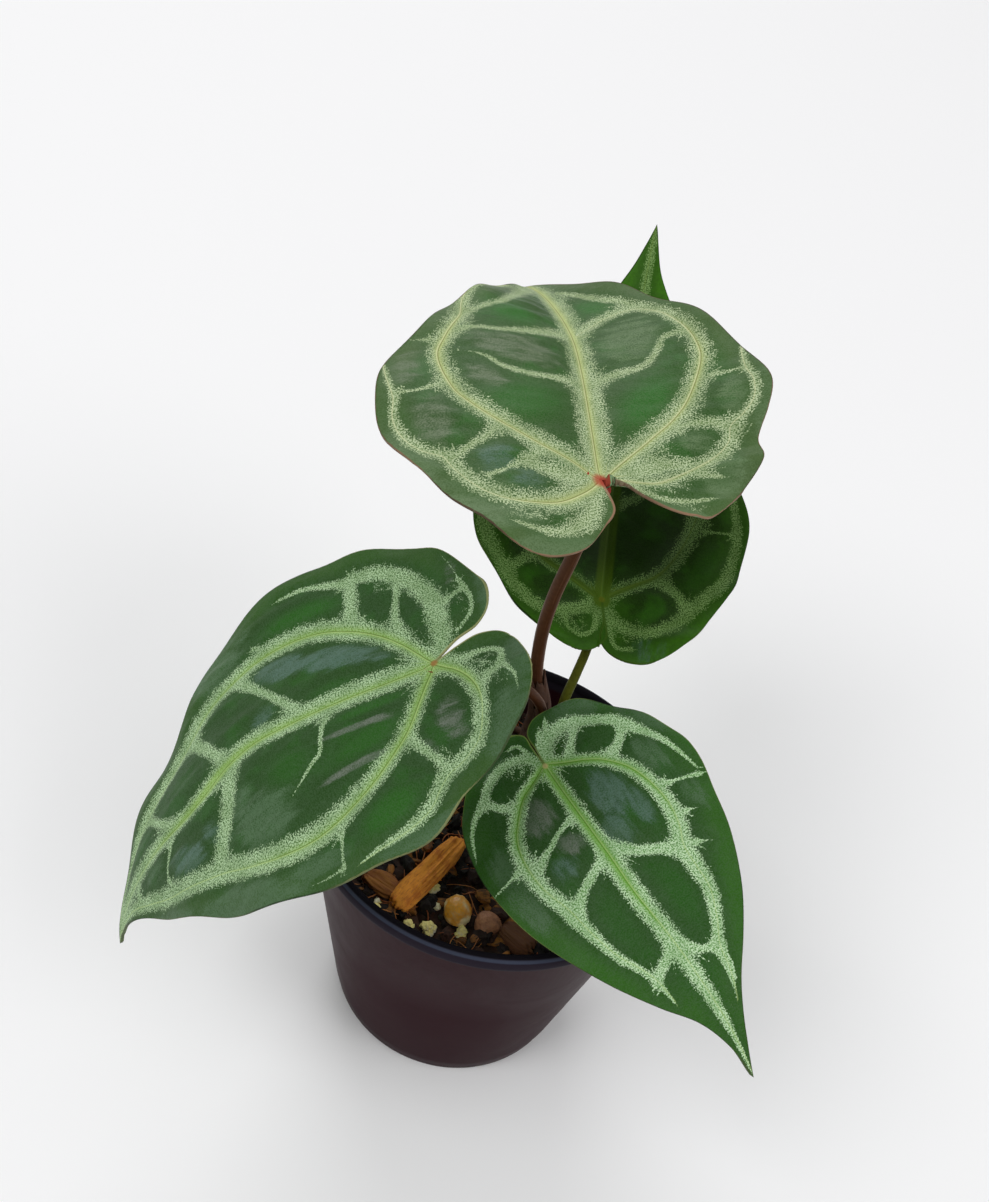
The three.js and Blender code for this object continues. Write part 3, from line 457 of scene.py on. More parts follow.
class StalkSettings(bpy.types.PropertyGroup):
    brown: colour("Brown", "Purple-brown skin of the stalks", seen(74, 44, 26))
    # The blush colour is the paler skin of the fine lines and also painted light on the side facing
    # the lamps.
    blush: colour("Blush", "Paler pinkish side of a stalk", seen(118, 84, 62))
    olive: colour("Olive", "Olive skin of the back stalk", seen(80, 84, 20))
    knee: length("Knee length", "Length of the swollen knee below a blade", 9 * MM)
    knee_swell: share("Knee swell", "How much thicker the knee is", 0.32)
    head_flare: share("Head flare", "Widening of a stalk right under its blade", 1.0)


class MixSettings(bpy.types.PropertyGroup):
    level: length("Mix level", "Height of the mix above the floor", 68.5 * MM)
    edge_drop: length("Edge drop", "How much lower the mix lies at the wall", 1.5 * MM)
    crumbs: amount("Crumbs", "Dark crumbs on the surface", 900)
    fibres: amount("Fibres", "Coir fibres on the surface", 480)
    splinters: amount("Splinters", "Small bark bits", 150)
    grains: amount("Grains", "Small perlite grains", 46)
    peat: colour("Peat", "Dark body of the mix", seen(11, 6, 4))
    coir: colour("Coir", "Red-brown fibres", seen(144, 76, 34))
    bark: colour("Bark", "Orange-brown bark", seen(250, 164, 60))
    perlite: colour("Perlite", "Off-white foamed grains", seen(246, 230, 146))


class PotSettings(bpy.types.PropertyGroup):
    plastic: colour("Plastic", "Dark plum-black plastic", seen(46, 20, 26))
    height: length("Height", "Height of the pot", 82 * MM)
    rim_radius: length("Rim radius", "Outer radius of the lip", 50 * MM)
    base_radius: length("Base radius", "Outer radius of the base", 34 * MM)
    wall: length("Wall", "Thickness of the wall", 1.5 * MM)


class StageSettings(bpy.types.PropertyGroup):
    floor: colour("Floor", "Plain pale floor", seen(250, 250, 251))
    sky: FloatProperty(name="Sky", description="Strength of the soft white surround", default=0.38)
    key: FloatProperty(name="Key", description="Power of the key light", default=45.0, unit="POWER")


SETTINGS = {
    "anthurium_leaf": LeafSettings,
    "anthurium_stalk": StalkSettings,
    "anthurium_mix": MixSettings,
    "anthurium_pot": PotSettings,
    "anthurium_stage": StageSettings,
}


# Shader nodes

# Sockets of a colour mix: the factor and the two colours, and the result.
COLOUR_SOCKETS = (0, 6, 7)
COLOUR_RESULT = 2


def feed(tree, socket, value):
    """Links a socket to another one, or sets it to a plain value or a colour."""
    if isinstance(value, bpy.types.NodeSocket):
        tree.links.new(value, socket)
    else:
        socket.default_value = (*value, 1.0) if socket.type == "RGBA" else value


def add_node(tree, kind, inputs=None, **settings):
    """A node with its settings, whose inputs are linked sockets or plain values."""
    made = tree.nodes.new(kind)
    for name, value in settings.items():
        setattr(made, name, value)
    for name, value in (inputs or {}).items():
        feed(tree, made.inputs[name], value)
    return made


def maths(tree, operation, *values, clamp=False):
    return add_node(tree, "ShaderNodeMath", dict(enumerate(values)), operation=operation,
                    use_clamp=clamp).outputs[0]


def times(tree, first, second, clamp=False):
    return maths(tree, "MULTIPLY", first, second, clamp=clamp)


def paint(tree, base, tint, mask, strength=None):
    """The base colour with a tint over it by a mask, which may be weakened to a strength."""
    if strength is not None:
        mask = times(tree, mask, strength)
    return add_node(tree, "ShaderNodeMix", dict(zip(COLOUR_SOCKETS, (mask, base, tint))),
                    data_type="RGBA").outputs[COLOUR_RESULT]


def spread(tree, value, low, high, out_low=0.0, out_high=1.0, smooth=True):
    """The value mapped from one range to another, held at both ends."""
    return add_node(tree, "ShaderNodeMapRange", {
        "Value": value, "From Min": low, "From Max": high, "To Min": out_low, "To Max": out_high,
    }, interpolation_type="SMOOTHSTEP" if smooth else "LINEAR").outputs["Result"]


def noise_value(tree, vector, scale, detail=3.0, roughness=0.5, distortion=0.0):
    return add_node(tree, "ShaderNodeTexNoise", {
        "Vector": vector, "Scale": scale, "Detail": detail, "Roughness": roughness,
        "Distortion": distortion,
    }).outputs["Fac"]


def stretched(tree, vector, scale):
    return add_node(tree, "ShaderNodeMapping", {"Vector": vector, "Scale": scale}).outputs[0]


def attribute(tree, name, output="Fac"):
    return add_node(tree, "ShaderNodeAttribute", attribute_name=name).outputs[output]


def scaled(tone, factor):
    return tuple(factor * value for value in tone)


def shader_group(name, inputs, outputs, build):
    """A node group of plain values, built once; an input without a default is a vector."""
    if name in bpy.data.node_groups:
        return bpy.data.node_groups[name]
    group = bpy.data.node_groups.new(name, "ShaderNodeTree")
    for label, value in inputs.items():
        kind = "NodeSocketVector" if value is None else "NodeSocketFloat"
        socket = group.interface.new_socket(label, in_out="INPUT", socket_type=kind)
        if value is not None:
            socket.default_value = value
    for label in outputs:
        group.interface.new_socket(label, in_out="OUTPUT", socket_type="NodeSocketFloat")
    start = group.nodes.new("NodeGroupInput")
    end = group.nodes.new("NodeGroupOutput")
    for label, socket in build(group, start.outputs).items():
        group.links.new(socket, end.inputs[label])
    return group


def fine_grain(tree, place, scale):
    """Fine uneven grain: a height for bumps, a mask that speckles a colour and soft patches."""
    def build(inner, socket):
        fine = noise_value(inner, socket["Vector"], socket["Scale"], 4.0, 0.6)
        coarse_scale = times(inner, socket["Scale"], 0.17)
        coarse = noise_value(inner, socket["Vector"], coarse_scale, 2.0, 0.5)
        height = maths(inner, "ADD", times(inner, fine, 0.6), times(inner, coarse, 0.4))
        return {"Height": height, "Speckle": spread(inner, fine, 0.42, 0.62),
                "Patch": spread(inner, coarse, 0.35, 0.65)}

    group = shader_group("Fine grain", {"Vector": None, "Scale": 400.0},
                         ("Height", "Speckle", "Patch"), build)
    inputs = {"Vector": place, "Scale": scale}
    return add_node(tree, "ShaderNodeGroup", inputs, node_tree=group).outputs


def feathered_band(tree, inputs):
    """A band's mask from the distance to its edge, with specks and teeth that run across it."""
    def build(inner, socket):
        teeth_at = add_node(inner, "ShaderNodeCombineXYZ", {
            "X": times(inner, socket["Run"], 1.5), "Y": times(inner, socket["Gap"], 0.6),
        }).outputs[0]
        teeth = noise_value(inner, teeth_at, 1.0, 3.0, 0.65)
        cloud = noise_value(inner, socket["Place"], 0.5, 3.0, 0.55)
        specks = noise_value(inner, socket["Place"], 2.7, 1.0, 0.6)
        push = maths(inner, "ADD", times(inner, maths(inner, "SUBTRACT", teeth, 0.5), 2.0),
                     times(inner, maths(inner, "SUBTRACT", cloud, 0.5), 2.6))
        reach = spread(inner, socket["Half"], 0.2, 2.2, 0.12, 0.95, smooth=False)
        reach = times(inner, reach, socket["Softness"])
        moved = maths(inner, "ADD", maths(inner, "DIVIDE", socket["Gap"], reach), push)
        density = spread(inner, moved, 1.4, -1.8, smooth=False)
        density = times(inner, density, spread(inner, socket["Half"], 0.0, 0.6, 0.3, 1.0))
        mist = times(inner, socket["Mist"], spread(inner, cloud, 0.35, 0.6))
        density = maths(inner, "MAXIMUM", density, mist)
        grain = times(inner, maths(inner, "SUBTRACT", specks, 0.5),
                      spread(inner, density, 0.02, 0.3, 0.0, 2.1))
        return {"Mask": spread(inner, maths(inner, "ADD", density, grain), 0.22, 0.78),
                "Specks": spread(inner, specks, 0.38, 0.6), "Silk": spread(inner, teeth, 0.3, 0.7)}

    defaults = {"Gap": 0.0, "Half": 1.0, "Run": 0.0, "Mist": 0.0, "Softness": 1.0, "Place": None}
    group = shader_group("Feathered band", defaults, ("Mask", "Specks", "Silk"), build)
    return add_node(tree, "ShaderNodeGroup", inputs, node_tree=group).outputs


def line_gap(tree, prefix):
    """Distances from a point to the edge and the middle of the nearest line, and its half width.

    The first one stays sharp where the line is very thin.
    """
    half, gap = attribute(tree, f"{prefix}_half"), attribute(tree, f"{prefix}_gap")
    away = maths(tree, "ABSOLUTE", attribute(tree, f"{prefix}_side"))
    apart = maths(tree, "SUBTRACT", maths(tree, "ADD", gap, half), 1.1)
    return maths(tree, "SUBTRACT", maths(tree, "MAXIMUM", away, apart), half), away, half


def new_material(name):
    material = bpy.data.materials.new(name)
    material.use_nodes = True
    return material, material.node_tree


def finish(material, base, rough, bump=None, specular=0.5):
    """The material with its colour, roughness and bumps: their height, strength and reach."""
    tree = material.node_tree
    shader = tree.nodes["Principled BSDF"]
    inputs = {"Base Color": base, "Roughness": rough, "Specular IOR Level": specular}
    if bump:
        bumps = dict(zip(("Height", "Strength", "Distance"), bump))
        inputs["Normal"] = add_node(tree, "ShaderNodeBump", bumps).outputs[0]
    for name, value in inputs.items():
        feed(tree, shader.inputs[name], value)
    return material


def leaf_cells(tree, tone, place, edge_gap, vein_gap, band):
    """The velvet cells with painted sheen in blue-grey and plum over them, and the mottling on
    them.
    """
    tints = add_node(tree, "ShaderNodeAttribute", attribute_name="tints").outputs
    parts = add_node(tree, "ShaderNodeSeparateColor", {"Color": tints["Color"]}).outputs
    drift = noise_value(tree, stretched(tree, place, tone["drift"]), 1.0, 4.0, 0.6, 0.3)
    streak = spread(tree, drift, 0.33, 0.67, 0.5, 1.1)
    streak = times(tree, streak, maths(tree, "ADD", band["Specks"], 0.6))
    patches = spread(tree, noise_value(tree, place, 0.11, 2.0), 0.48, 0.66, 0.0, 0.55)
    cells = paint(tree, tone["velvet"], tone["lush"],
                  maths(tree, "MAXIMUM", parts["Red"], patches))
    cells = paint(tree, cells, tone["margin"], spread(tree, edge_gap, 9.0, 2.0, 0.0, 0.8))
    # Grey patches, then painted sheen in blue-grey and in plum.
    for part, key in ((parts["Green"], "grey"), (parts["Blue"], "sheen"),
                      (tints["Alpha"], "plum")):
        ragged = maths(tree, "ADD", part, maths(tree, "SUBTRACT", drift, 0.5))
        ragged = spread(tree, ragged, 0.2, 0.85)
        cells = paint(tree, cells, tone[key], times(tree, ragged, streak, clamp=True))
    mottle = noise_value(tree, place, 0.9, 4.0, 0.65)
    cells = paint(tree, cells, tone["velvet"], spread(tree, mottle, 0.35, 0.7, 0.0, 0.3))
    cells = paint(tree, cells, tone["deep"], spread(tree, vein_gap, 3.4, 0.6, 0.0, 0.4))
    silk = times(tree, band["Silk"], spread(tree, vein_gap, 5.0, 1.0, 0.1, 0.24))
    cells = paint(tree, cells, tone["grey"], silk)
    return paint(tree, cells, tone["grey"], band["Specks"], 0.24), mottle


def leaf_silver(tree, tone, place, core, band):
    """The silver of the bands: bright specks over a shade, greener near a vein's core."""
    gap, _, half = core
    glow = times(tree, spread(tree, gap, 1.6, 0.0, 0.0, tone["glow"]),
                 spread(tree, half, 0.1, 0.6))
    shade = paint(tree, tone["shade"], tone["rib"], glow)
    bright = paint(tree, tone["silver"], tone["rib"], glow)
    silver = paint(tree, shade, bright, band["Specks"])
    fading = spread(tree, noise_value(tree, place, 0.14, 2.0), 0.42, 0.62, 0.0, 0.3)
    return paint(tree, silver, tone["shade"], fading)


def leaf_cores(tree, surface, tone, core):
    """The surface with the green cores of its veins, a painted highlight on the ridge beside each
    and painted shade in its crease.
    """
    gap, away, half = core
    green = times(tree, spread(tree, gap, 0.5, -0.45), spread(tree, half, 0.06, 0.4))
    surface = paint(tree, surface, tone["rib"], green, tone["core"])
    # Painted highlight on one side of each core.
    side = attribute(tree, "core_side")
    ridge = times(tree, spread(tree, side, -0.55, -0.3), spread(tree, side, 0.0, -0.2))
    ridge = times(tree, ridge, spread(tree, gap, 0.5, 0.2))
    surface = paint(tree, surface, tone["ridge"], ridge, 0.45)
    # Painted shade in the crease along each core.
    crease = times(tree, spread(tree, away, 0.2, 0.06), green)
    return paint(tree, surface, tone["crease"], crease, 0.7)


def leaf_edges(tree, surface, tone, place, edge_gap, joint_gap):
    """The surface with its margin's line, the blush at its joint and its shaded middle."""
    pale = times(tree, spread(tree, noise_value(tree, place, 0.03, 1.0), 0.4, 0.56),
                 spread(tree, joint_gap, 72.0, 20.0, 0.3, 1.0))
    line_colour = paint(tree, tone["line"], tone["pale_line"], pale)
    line_reach = spread(tree, joint_gap, 18.0, 4.0, 0.22, tone["line_reach"])
    line = spread(tree, maths(tree, "DIVIDE", edge_gap, line_reach), 1.25, 0.6)
    surface = paint(tree, surface, line_colour, line, 0.85)
    blush = spread(tree, maths(tree, "DIVIDE", joint_gap, tone["joint_reach"]), 1.0, 0.4)
    surface = paint(tree, surface, tone["joint"], blush, 0.8)
    # Painted shadow of the top blade over the middle, as strong as the blade's dim.
    flat = add_node(tree, "ShaderNodeSeparateXYZ", {"Vector": place}).outputs
    dim = times(tree, spread(tree, flat["Y"], -2.0, 16.0), spread(tree, flat["Y"], 92.0, 60.0))
    out = maths(tree, "ABSOLUTE", flat["X"])
    dim = times(tree, dim, spread(tree, out, 34.0, 16.0, 0.35, 1.0))
    return paint(tree, surface, scaled(tone["velvet"], 0.2), dim, tone["dim"])


def leaf_material(name, tone):
    """Velvet cells with blooms, speckled silver bands, green cores and a fine margin line."""
    material, tree = new_material(name)
    place = attribute(tree, "flat_place", "Vector")
    edge_gap, joint_gap = attribute(tree, "edge_gap"), attribute(tree, "joint_gap")
    thin_gap, _, half = line_gap(tree, "vein")
    vein_gap = maths(tree, "MINIMUM", attribute(tree, "vein_gap"), thin_gap)
    core = line_gap(tree, "core")
    band = feathered_band(tree, {
        "Gap": vein_gap, "Half": half, "Run": attribute(tree, "vein_run"), "Place": place,
        "Softness": tone["softness"], "Mist": attribute(tree, "mist"),
    })
    cells, mottle = leaf_cells(tree, tone, place, edge_gap, vein_gap, band)
    silver = leaf_silver(tree, tone, place, core, band)
    surface = paint(tree, cells, silver, band["Mask"], 0.9)
    surface = leaf_cores(tree, surface, tone, core)
    surface = leaf_edges(tree, surface, tone, place, edge_gap, joint_gap)
    rough = maths(tree, "ADD", spread(tree, mottle, 0.3, 0.7, 0.36, 0.46),
                  spread(tree, band["Mask"], 0.0, 1.0, 0.0, 0.14))
    grain = maths(tree, "ADD", band["Specks"], band["Silk"])
    return finish(material, surface, rough, (grain, 0.25, 0.08 * MM), specular=0.08)


def underside_material(name, leaf):
    """Pale matt green below, with the veins a little lighter."""
    material, tree = new_material(name)
    grain = fine_grain(tree, attribute(tree, "flat_place", "Vector"), 2.4)
    vein = spread(tree, attribute(tree, "vein_gap"), 0.2, -0.8)
    pale = tuple(min(1.0, value) for value in scaled(leaf.underside, 1.35))
    base = paint(tree, leaf.underside, leaf.grey, grain["Patch"], 0.4)
    base = paint(tree, base, pale, vein, 0.7)
    rough = spread(tree, grain["Height"], 0.3, 0.7, 0.5, 0.62)
    return finish(material, base, rough, (grain["Height"], 0.3, 0.12 * MM))


def stalk_material(name, skin, blush, head, edge):
    """Smooth skin with fine lengthwise lines, painted light on the side facing the lamps and
    painted highlights along its outline.
    """
    material, tree = new_material(name)
    along = attribute(tree, "home", "Vector")
    lines = noise_value(tree, stretched(tree, along, (1.0, 14.0, 0.09)), 1.0, 4.0, 0.6)
    grain = fine_grain(tree, along, 1.3)
    # Painted light: the blush colour on the side that faces the lamps.
    side = spread(tree, attribute(tree, "blush"), 0.25, 1.0)
    base = paint(tree, skin, blush, side, 0.42)
    base = paint(tree, base, blush, spread(tree, lines, 0.45, 0.75, 0.0, 0.3))
    base = paint(tree, base, scaled(skin, 0.5), grain["Speckle"], 0.2)
    # Painted highlight along the stalk's outline.
    facing = add_node(tree, "ShaderNodeLayerWeight", {"Blend": 0.5}).outputs["Facing"]
    base = paint(tree, base, edge, spread(tree, facing, 0.55, 0.95, 0.0, 0.55))
    base = paint(tree, base, head, attribute(tree, "head"))
    rough = spread(tree, lines, 0.3, 0.7, 0.34, 0.5)
    return finish(material, base, rough, (lines, 0.4, 0.15 * MM), specular=0.05)


def plastic_material(name, pot):
    """Moulded plastic: satin, with faint scuffs and a little dust, painted reflection on its lip,
    painted shade on its lip top and inner wall, and a painted highlight line along its lip.
    """
    material, tree = new_material(name)
    place = add_node(tree, "ShaderNodeTexCoord").outputs["Object"]
    grain = fine_grain(tree, place, 900.0)
    scuffs = noise_value(tree, place, 45.0, 5.0, 0.7, 0.6)
    base = paint(tree, pot.plastic, seen(64, 48, 54), spread(tree, scuffs, 0.5, 0.8, 0.0, 0.2))
    height = add_node(tree, "ShaderNodeSeparateXYZ", {"Vector": place}).outputs["Z"]
    flat = add_node(tree, "ShaderNodeVectorMath", {0: place, 1: (1.0, 1.0, 0.0)},
                    operation="MULTIPLY").outputs[0]
    reach = add_node(tree, "ShaderNodeVectorMath", {0: flat}, operation="LENGTH").outputs["Value"]

    def from_top(start, end, full=1.0):
        return spread(tree, height, pot.height - start * MM, pot.height - end * MM, 0.0, full)

    def from_rim(start, end):
        return spread(tree, reach, pot.rim_radius - start * MM, pot.rim_radius - end * MM)

    # Painted reflection: a bluish tint on the top of the lip.
    base = paint(tree, base, seen(38, 40, 50), from_top(5, 3.5, 0.7))
    # Painted shade: the inner wall near-black.
    middle = spread(tree, height, 0.0, pot.height, pot.base_radius, pot.rim_radius, smooth=False)
    middle = maths(tree, "SUBTRACT", middle, pot.wall + 0.9 * MM)
    inside = spread(tree, maths(tree, "SUBTRACT", middle, reach), 0.0, 0.3 * MM, 0.0, 0.85)
    base = paint(tree, base, seen(12, 10, 11), inside)
    # Painted shade on the lip's flat top.
    lip_top_shade = times(tree, from_top(0.9, 0.3), from_rim(0.6, 1.0))
    base = paint(tree, base, seen(14, 14, 17), lip_top_shade, 0.8)
    # Painted highlight along the lip's outer top edge.
    edge = times(tree, from_top(0.9, 0.5), from_rim(0.9, 0.5))
    base = paint(tree, base, seen(72, 80, 98), edge, 0.6)
    rough = spread(tree, scuffs, 0.35, 0.75, 0.3, 0.38)
    return finish(material, base, rough, (grain["Height"], 0.08, 0.1 * MM), specular=0.01)


def crumb_material(name, dark, light, light_share, roughness):
    """Loose matter whose tone changes from piece to piece and over each piece."""
    material, tree = new_material(name)
    grain = fine_grain(tree, add_node(tree, "ShaderNodeTexCoord").outputs["Object"], 1400.0)
    tint = spread(tree, attribute(tree, "tint"), 0.0, 1.0, 0.0, light_share)
    base = paint(tree, dark, light, tint)
    base = paint(tree, base, scaled(dark, 0.45), grain["Speckle"], 0.45)
    rough = spread(tree, grain["Patch"], 0.0, 1.0, roughness - 0.12, roughness)
    return finish(material, base, rough, (grain["Height"], 0.6, 0.25 * MM))


def bark_material(name, light, dark):
    """Split bark: layered grain along the chip, from orange to dark brown."""
    material, tree = new_material(name)
    home, tint = attribute(tree, "home", "Vector"), attribute(tree, "tint")
    fibres = noise_value(tree, stretched(tree, home, (2.2, 0.28, 2.2)), 1.0, 5.0, 0.65, 0.5)
    patches = noise_value(tree, home, 0.35, 3.0, 0.6)
    base = paint(tree, dark, light, spread(tree, fibres, 0.3, 0.55))
    base = paint(tree, base, dark, spread(tree, patches, 0.45, 0.7, 0.0, 0.7))
    base = paint(tree, base, seen(70, 40, 22), tint, 0.5)
    rough = spread(tree, fibres, 0.3, 0.7, 0.72, 0.92)
    return finish(material, base, rough, (fibres, 0.45, 0.3 * MM))


def pebble_material(name, main, vein, roughness):
    """Small stone or clay ball with soft clouds and a few pits."""
    material, tree = new_material(name)
    home = attribute(tree, "home", "Vector")
    grain = fine_grain(tree, home, 2.4)
    clouds = noise_value(tree, home, 0.2, 3.0, 0.5, 0.3)
    base = paint(tree, main, vein, spread(tree, clouds, 0.46, 0.66))
    base = paint(tree, base, scaled(vein, 0.5), grain["Speckle"], 0.25)
    rough = spread(tree, clouds, 0.3, 0.7, roughness - 0.1, roughness)
    return finish(material, base, rough, (grain["Height"], 0.5, 0.2 * MM))


# Curves

def spline(points, count):
    """Evenly spaced points on a smooth curve through the given ones."""
    points = np.array(points, float)
    padded = np.vstack([points[:1], points, points[-1:]])
    fine = np.linspace(0, len(points) - 1, 24 * (len(points) - 1) + 1)
    seat = np.minimum(fine.astype(int), len(points) - 2)
    t = (fine - seat)[:, None]
    a, b, c, d = (padded[seat + k] for k in range(4))
    v0, v1 = (c - a) / 2, (d - b) / 2
    curve = ((2 * b - 2 * c + v0 + v1) * t**3 + (-3 * b + 3 * c - 2 * v0 - v1) * t**2
             + v0 * t + b)
    run = np.concatenate([[0], np.cumsum(np.linalg.norm(np.diff(curve, axis=0), axis=1))])
    even = np.linspace(0, run[-1], count)
    return np.stack([np.interp(even, run, curve[:, k]) for k in range(curve.shape[1])], 1)


# Blades

def blade_axes(blade, s):
    """Directions at shares of the length: along the midrib, across to the right, and up."""
    ahead, behind = np.maximum(s, 0), np.minimum(s, 0)
    heading, pitch, roll = (blade[key] for key in ("heading", "pitch", "roll"))
    turn = np.radians(heading[0] + heading[1] * ahead + heading[2] * ahead**2)
    climb = np.radians(pitch[0] + pitch[1] * ahead + pitch[2] * ahead**2
                       + blade["lobe_pitch"] * behind)
    bank = np.radians(roll[0] + roll[1] * ahead)[..., None]
    along = np.stack([np.sin(turn) * np.cos(climb), np.cos(turn) * np.cos(climb),
                      np.sin(climb)], -1)
    up = np.stack([-np.sin(turn) * np.sin(climb), -np.cos(turn) * np.sin(climb),
                   np.cos(climb)], -1)
    across = np.cross(along, up)
    cos, sin = np.cos(bank), np.sin(bank)
    return along, across * cos + up * -sin, up * cos + across * sin


def blade_spine(blade):
    """Points a millimetre apart along the bending midrib, from behind the lobes to the tip."""
    count = math.ceil(blade["length"] + BEHIND) + 2
    middle = (np.arange(1, count) - 0.5 - BEHIND) / blade["length"]
    along = blade_axes(blade, middle)[0]
    points = np.vstack([np.zeros(3), np.cumsum(along, 0)])
    return points + np.array(blade["joint"]) - points[BEHIND]


def blade_rise(blade, along, out):
    """Height over the flat plan: cup, sag and lobe lift."""
    s = along / blade["length"]
    width = out / (WIDTH_SHARE * blade["length"])
    right = width > 0
    cup = blade["cup"][0] + blade["cup"][1] * np.clip(s, 0, 1)
    fold = np.hypot(width, FOLD_SOFTNESS) - FOLD_SOFTNESS
    lobe = np.maximum(0, (LOBE_START - s) / LOBE_REACH) ** 2 * np.minimum(1, 4 * abs(width))
    sag = np.where(right, blade["sag"][1], blade["sag"][0])
    lift = np.where(right, blade["lobe_lift"][1], blade["lobe_lift"][0])
    return cup * fold - sag * width**2 + lift * lobe


def lift_blade(blade, along, out, relief):
    """Places in space, in metres, of flat points with their relief."""
    spine = blade_spine(blade)
    at = np.clip(along + BEHIND, 0, len(spine) - 1.001)
    seat = at.astype(int)
    part = (at - seat)[:, None]
    middle = spine[seat] * (1 - part) + spine[seat + 1] * part
    _, across, up = blade_axes(blade, along / blade["length"])
    high = blade_rise(blade, along, out) + relief
    return (middle + across * out[:, None] + up * high[:, None]) * MM


def half_plan(blade, outline, columns, rings):
    """Flat places of half a blade on a grid of columns and rings, as on the frame's blade."""
    margin = spline(outline, MARGIN_STEPS + 1)
    rear = int(np.argmin(margin[:, 0]))
    station = margin[:, 0] - VEIN_SWEEP * margin[:, 1]
    last = len(margin) - 1
    while last > rear and station[last] > 0:
        last -= 1
    index = np.arange(len(margin))

    def on_margin(place):
        return np.stack([np.interp(place, index, margin[:, k]) for k in (0, 1)], -1)

    def turn_of(point):
        return np.arctan2(point[1], point[0]) % (2 * np.pi)

    sinus_turn, lobe_turn = turn_of(margin[round(SINUS_START * rear)]), turn_of(margin[last])

    def fan(edge, part, ring):
        turn = sinus_turn + (lobe_turn - sinus_turn) * part
        pull = np.stack([np.cos(turn), np.sin(turn)], -1)
        pull = pull * np.linalg.norm(edge, axis=-1)[..., None]
        return pull * ((1 - ring) * ring)[..., None] + edge * (ring**2)[..., None]

    column = np.linspace(0, FAN_COLUMNS + MIDRIB_COLUMNS, columns + 1)
    ring = np.linspace(0, 1, rings + 1)
    plan = np.zeros((columns + 1, rings + 1, 2))
    rising = np.maximum.accumulate(station[last:])
    for k, place in enumerate(column):
        if place < FAN_COLUMNS:
            part = np.full(len(ring), place / FAN_COLUMNS)
            edge = on_margin(rear + (last - rear) * part)
            start = fan(np.tile(margin[rear], (len(ring), 1)), 0 * part, ring)
            off = on_margin(rear * ring) - start
            plan[k] = fan(edge, part, ring) + off * ((1 - part) ** 2)[:, None]
        else:
            root = blade["length"] * (place - FAN_COLUMNS) / MIDRIB_COLUMNS
            edge = on_margin(last + np.interp(root, rising, np.arange(len(rising))))
            plan[k] = np.array([root, 0]) * (1 - ring)[:, None] + edge * ring[:, None]
    plan[-1] = np.array([blade["length"], 0])
    return column, ring, plan


def flat_blade(blade, columns, rings):
    """Both halves as flat grids, joined along the midrib, with each point's column and ring."""
    sheet, layers = new_sheet("column", "ring")
    for side, key in ((-1, "left"), (1, "right")):
        column, ring, plan = half_plan(blade, blade[key], columns, rings)
        made = bmesh.ops.create_grid(sheet, x_segments=columns, y_segments=rings, size=1.0)
        for vert in made["verts"]:
            k = round((vert.co.x + 1) / 2 * columns)
            r = round((vert.co.y + 1) / 2 * rings)
            vert[layers[0]], vert[layers[1]] = column[k], ring[r]
            vert.co = (side * plan[k, r, 1], plan[k, r, 0], 0.0)
    bmesh.ops.remove_doubles(sheet, verts=sheet.verts, dist=PLAN_WELD)
    bmesh.ops.dissolve_degenerate(sheet, dist=PLAN_SLIVER, edges=sheet.edges)
    bmesh.ops.recalc_face_normals(sheet, faces=sheet.faces)
    if sum(face.normal.z * face.calc_area() for face in sheet.faces) < 0:
        bmesh.ops.reverse_faces(sheet, faces=sheet.faces)
    return sheet


def batches(count):
    """Slices that take a long list of points a part at a time."""
    return [slice(start, start + BATCH) for start in range(0, count, BATCH)]


def nearest_on(path, place):
    """For each flat point: distance to a path, the way along it, and the side it lies on."""
    steps = np.diff(path, axis=0)
    long = np.linalg.norm(steps, axis=1)
    run = np.concatenate([[0], np.cumsum(long)])
    seat = np.zeros(len(place), int)
    for part in batches(len(place)):
        seat[part] = ((place[part, None] - path[None]) ** 2).sum(2).argmin(1)
    results = []
    for shift in (-1, 0):
        first = np.clip(seat + shift, 0, len(steps) - 1)
        step = steps[first]
        from_start = place - path[first]
        t = np.clip((from_start * step).sum(1) / long[first] ** 2, 0, 1)
        off = from_start - step * t[:, None]
        side = np.sign(step[:, 0] * off[:, 1] - step[:, 1] * off[:, 0])
        results.append((np.linalg.norm(off, axis=1), run[first] + t * long[first], side))
    nearer = results[0][0] < results[1][0]
    apart, way, side = (np.where(nearer, *pair) for pair in zip(*results))
    return apart, way / run[-1], way, np.where(side == 0, 1, side)


def vein_fields(place, veins):
    """For each flat point: gap, side, half width and way along the nearest band and core."""
    gaps, sides, halves, runs = [], [], [], []
    cores = []

    def half_width(widths, part):
        return np.interp(part, np.linspace(0, 1, len(widths)), widths) / 2

    for index, (widths, core, route) in enumerate(veins):
        path = spline(route, max(24, 14 * len(route)))
        apart, part, way, side = nearest_on(path, place)
        half = half_width(widths, part)
        gaps.append(apart - half)
        sides.append(side * apart)
        halves.append(half)
        runs.append(way + VEIN_SHIFT * index)
        if core:
            half = half_width(core, part)
            cores.append((apart - half, side * apart, half))
    gaps, sides, halves, runs = (np.array(item) for item in (gaps, sides, halves, runs))
    nearest = gaps.argmin(0), np.arange(len(place))
    pull = np.exp(-np.clip(gaps, -9, 12) / VEIN_MERGE)
    core_gaps, core_sides, core_halves = (np.array(item) for item in zip(*cores))
    core = core_gaps.argmin(0), np.arange(len(place))
    return {
        "vein_gap": -VEIN_MERGE * np.log(pull.sum(0)),
        "vein_side": sides[nearest],
        "vein_half": (halves * pull).sum(0) / pull.sum(0),
        "vein_run": runs[nearest],
        "core_gap": core_gaps[core],
        "core_side": core_sides[core],
        "core_half": core_halves[core],
    }


